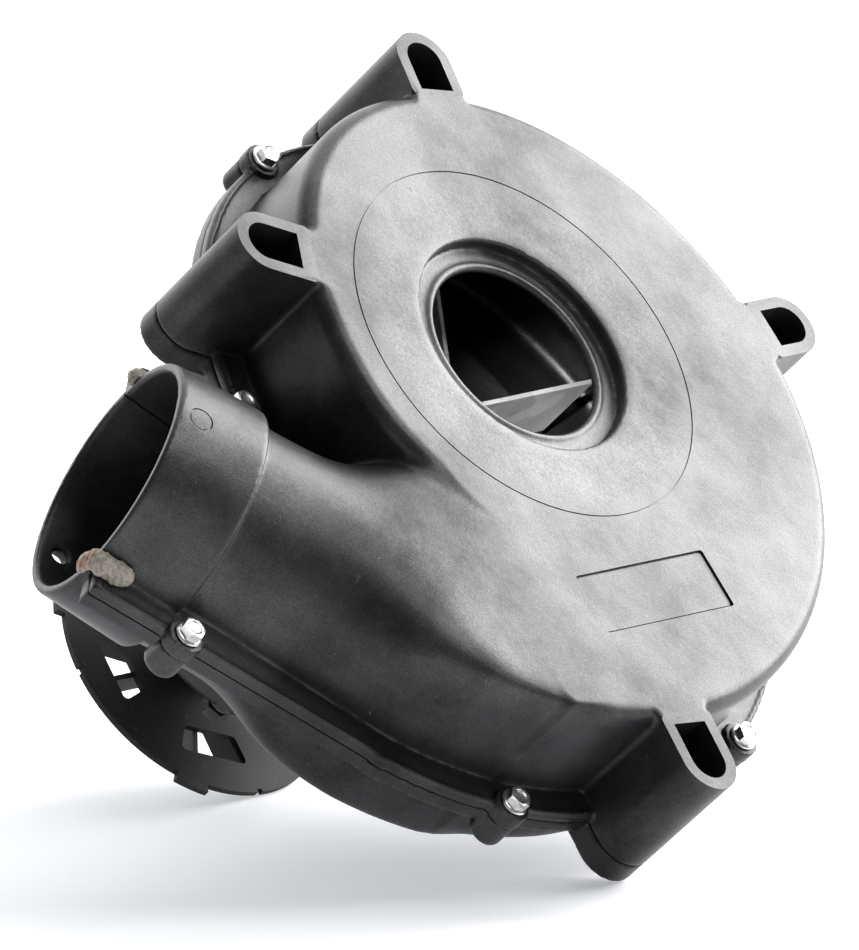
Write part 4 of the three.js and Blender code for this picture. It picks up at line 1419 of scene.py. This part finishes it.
def lead_gland():
    start = MOTOR_RADIUS - BELL_WALL - 1.5
    face = MOTOR_RADIUS + GAP
    bore, radius, flange = GLAND["bore"], GLAND["radius"], GLAND["flange"]
    made = revolve("grommet", [(bore, start), (radius - 0.3, start), (radius, start + 0.3), (radius, face),
                               (flange - 0.3, face + 0.3), (flange, face + 0.9), (flange - 0.2, face + 1.8),
                               (flange - 0.8, face + 2.2), (bore + 1.9, face + 6.4), (bore + 1.4, face + 7),
                               (bore + 0.4, face + 7), (bore, face + 6.6)], 64)
    turned_to_side(made, GLAND["angle"], MOTOR_END + BELL_DEPTH / 2 + 1)
    return finished(made, RUBBER, HOUSING, ["lead_gland"])


def rotating_group():
    motor_shaft()
    impeller()
    impeller_insert()
    impeller_clip()
    heat_slinger()
    rotor_core()
    cooling_fan()
    fan_clip()


def motor():
    shaft_seal()
    seal_ring()
    front_end_bell()
    rear_end_bell()
    bearing("front_sleeve", MOTOR_FRONT + 1, "front_bearing")
    bearing("rear_sleeve", MOTOR_END + BEARING_LENGTH - 1, "rear_bearing")
    stator_core()
    for index in range(POLES):
        coil(f"winding_{index + 1}", FIRST_POLE + index * 360 / POLES, f"coil_{index + 1}")
    motor_bolts()
    lead_gland()


rotating_group()
motor()


# ------------------------------------------------------------ camera, floor and light

VIEW = Vector((-0.3206, -0.7300, 0.6037))
CAMERA_RIGHT = Vector((0.8088, 0.1208, 0.5756))
CAMERA_UP = Vector((-0.4931, 0.6727, 0.5517))
CAMERA_AT = Vector((-0.8227, -1.8955, 1.5049))
LENS = 327.4

FLOOR_NORMAL = Vector((-0.5630, 0.5215, 0.6411))
FLOOR_OFFSET = -150.0

# name, direction, distance and size in metres, and radiance of each square lamp
SOFTBOXES = [
    ("face_light", (0.50, 0.70, 0.52), 1.5, 1.1, 12.5),
    ("fill_light", (-0.04, 0.22, 0.97), 1.6, 0.7, 7.5),
    ("top_light", (-0.45, 0.62, 0.64), 1.6, 1.0, 1.5),
]
SPOT_DIRECTION = Vector((-0.393, -0.682, 0.617)).normalized()
SPOT_TARGET = Vector((10.0, -23.0, 0.0))
SPOT_RADIUS = 21.0
SPOT_ENERGY = 330.0
SPOT_DISTANCE_METRES = 1.5
WALL_DIM = 0.2
WALL_BRIGHT = 2.6


def camera():
    data = bpy.data.cameras.new("camera")
    data.lens = LENS
    data.sensor_width = 36
    data.clip_end = 50
    made = placed("camera", data)
    axes = Matrix((CAMERA_RIGHT, CAMERA_UP, VIEW)).transposed()
    made.matrix_world = Matrix.Translation(CAMERA_AT) @ axes.to_4x4()
    bpy.context.scene.camera = made


def turned_towards(direction):
    return direction.to_track_quat("Z", "Y").to_matrix().to_4x4()


def floor():
    """A pale floor under the fan as it lies in the picture. It is clear from below."""
    bm = bmesh.new()
    bmesh.ops.create_grid(bm, x_segments=1, y_segments=1, size=8)
    mesh = bpy.data.meshes.new("floor")
    bm.to_mesh(mesh)
    bm.free()
    made = placed("floor", mesh)
    made.matrix_world = Matrix.Translation(FLOOR_NORMAL * FLOOR_OFFSET * MM) @ turned_towards(FLOOR_NORMAL)
    n = Nodes("floor")
    clear = n.add("ShaderNodeBsdfTransparent")
    chooser = n.add("ShaderNodeMixShader")
    behind = n.add("ShaderNodeNewGeometry").outputs["Backfacing"]
    n.shade(Base_Color=(0.86, 0.865, 0.88), Roughness=0.9,
            Emission_Color=(0.95, 0.97, 1.0), Emission_Strength=0.3)
    n.tree.links.new(behind, chooser.inputs["Fac"])
    n.tree.links.new(n.surface.outputs["BSDF"], chooser.inputs[1])
    n.tree.links.new(clear.outputs["BSDF"], chooser.inputs[2])
    n.tree.links.new(chooser.outputs["Shader"], n.tree.nodes["Material Output"].inputs["Surface"])
    mesh.materials.append(n.material)


def softbox(name, direction, distance, size, radiance):
    """A square lamp that faces the fan. radiance is how bright its face looks, where 1 is white."""
    data = bpy.data.lights.new(name, "AREA")
    data.shape = "SQUARE"
    data.size = size
    data.energy = radiance * math.pi * size * size
    towards = Vector(direction).normalized()
    placed(name, data).matrix_world = Matrix.Translation(towards * distance) @ turned_towards(towards)


def inlet_spot():
    """A narrow beam from beside the camera that reaches the blade behind the inlet."""
    data = bpy.data.lights.new("inlet_spot", "SPOT")
    data.energy = SPOT_ENERGY
    data.spot_size = 2 * math.atan(SPOT_RADIUS * MM / SPOT_DISTANCE_METRES)
    data.spot_blend = 0.3
    data.shadow_soft_size = 0.02
    place = SPOT_TARGET * MM + SPOT_DIRECTION * SPOT_DISTANCE_METRES
    placed("inlet_spot", data).matrix_world = Matrix.Translation(place) @ turned_towards(SPOT_DIRECTION)


def studio():
    """A bright wall behind the fan, dimmer on the camera's side, three soft lamps and a narrow spot."""
    scene = bpy.context.scene
    scene.view_settings.view_transform = "Standard"
    world = bpy.data.worlds.new("studio")
    world.use_nodes = True
    tree = world.node_tree
    around = tree.nodes.new("ShaderNodeTexCoord").outputs["Generated"]
    dot = tree.nodes.new("ShaderNodeVectorMath")
    dot.operation = "DOT_PRODUCT"
    dot.inputs[1].default_value = -VIEW
    tree.links.new(around, dot.inputs[0])
    fade = tree.nodes.new("ShaderNodeMapRange")
    fade.interpolation_type = "SMOOTHSTEP"
    fade.inputs["From Min"].default_value = -0.25
    fade.inputs["From Max"].default_value = 0.75
    fade.inputs["To Min"].default_value = WALL_DIM
    fade.inputs["To Max"].default_value = WALL_BRIGHT
    tree.links.new(dot.outputs["Value"], fade.inputs["Value"])
    tree.links.new(fade.outputs["Result"], tree.nodes["Background"].inputs["Strength"])
    tree.nodes["Background"].inputs["Color"].default_value = (0.97, 0.985, 1.0, 1)
    scene.world = world
    for lamp in SOFTBOXES:
        softbox(*lamp)
    inlet_spot()


camera()
floor()
studio()
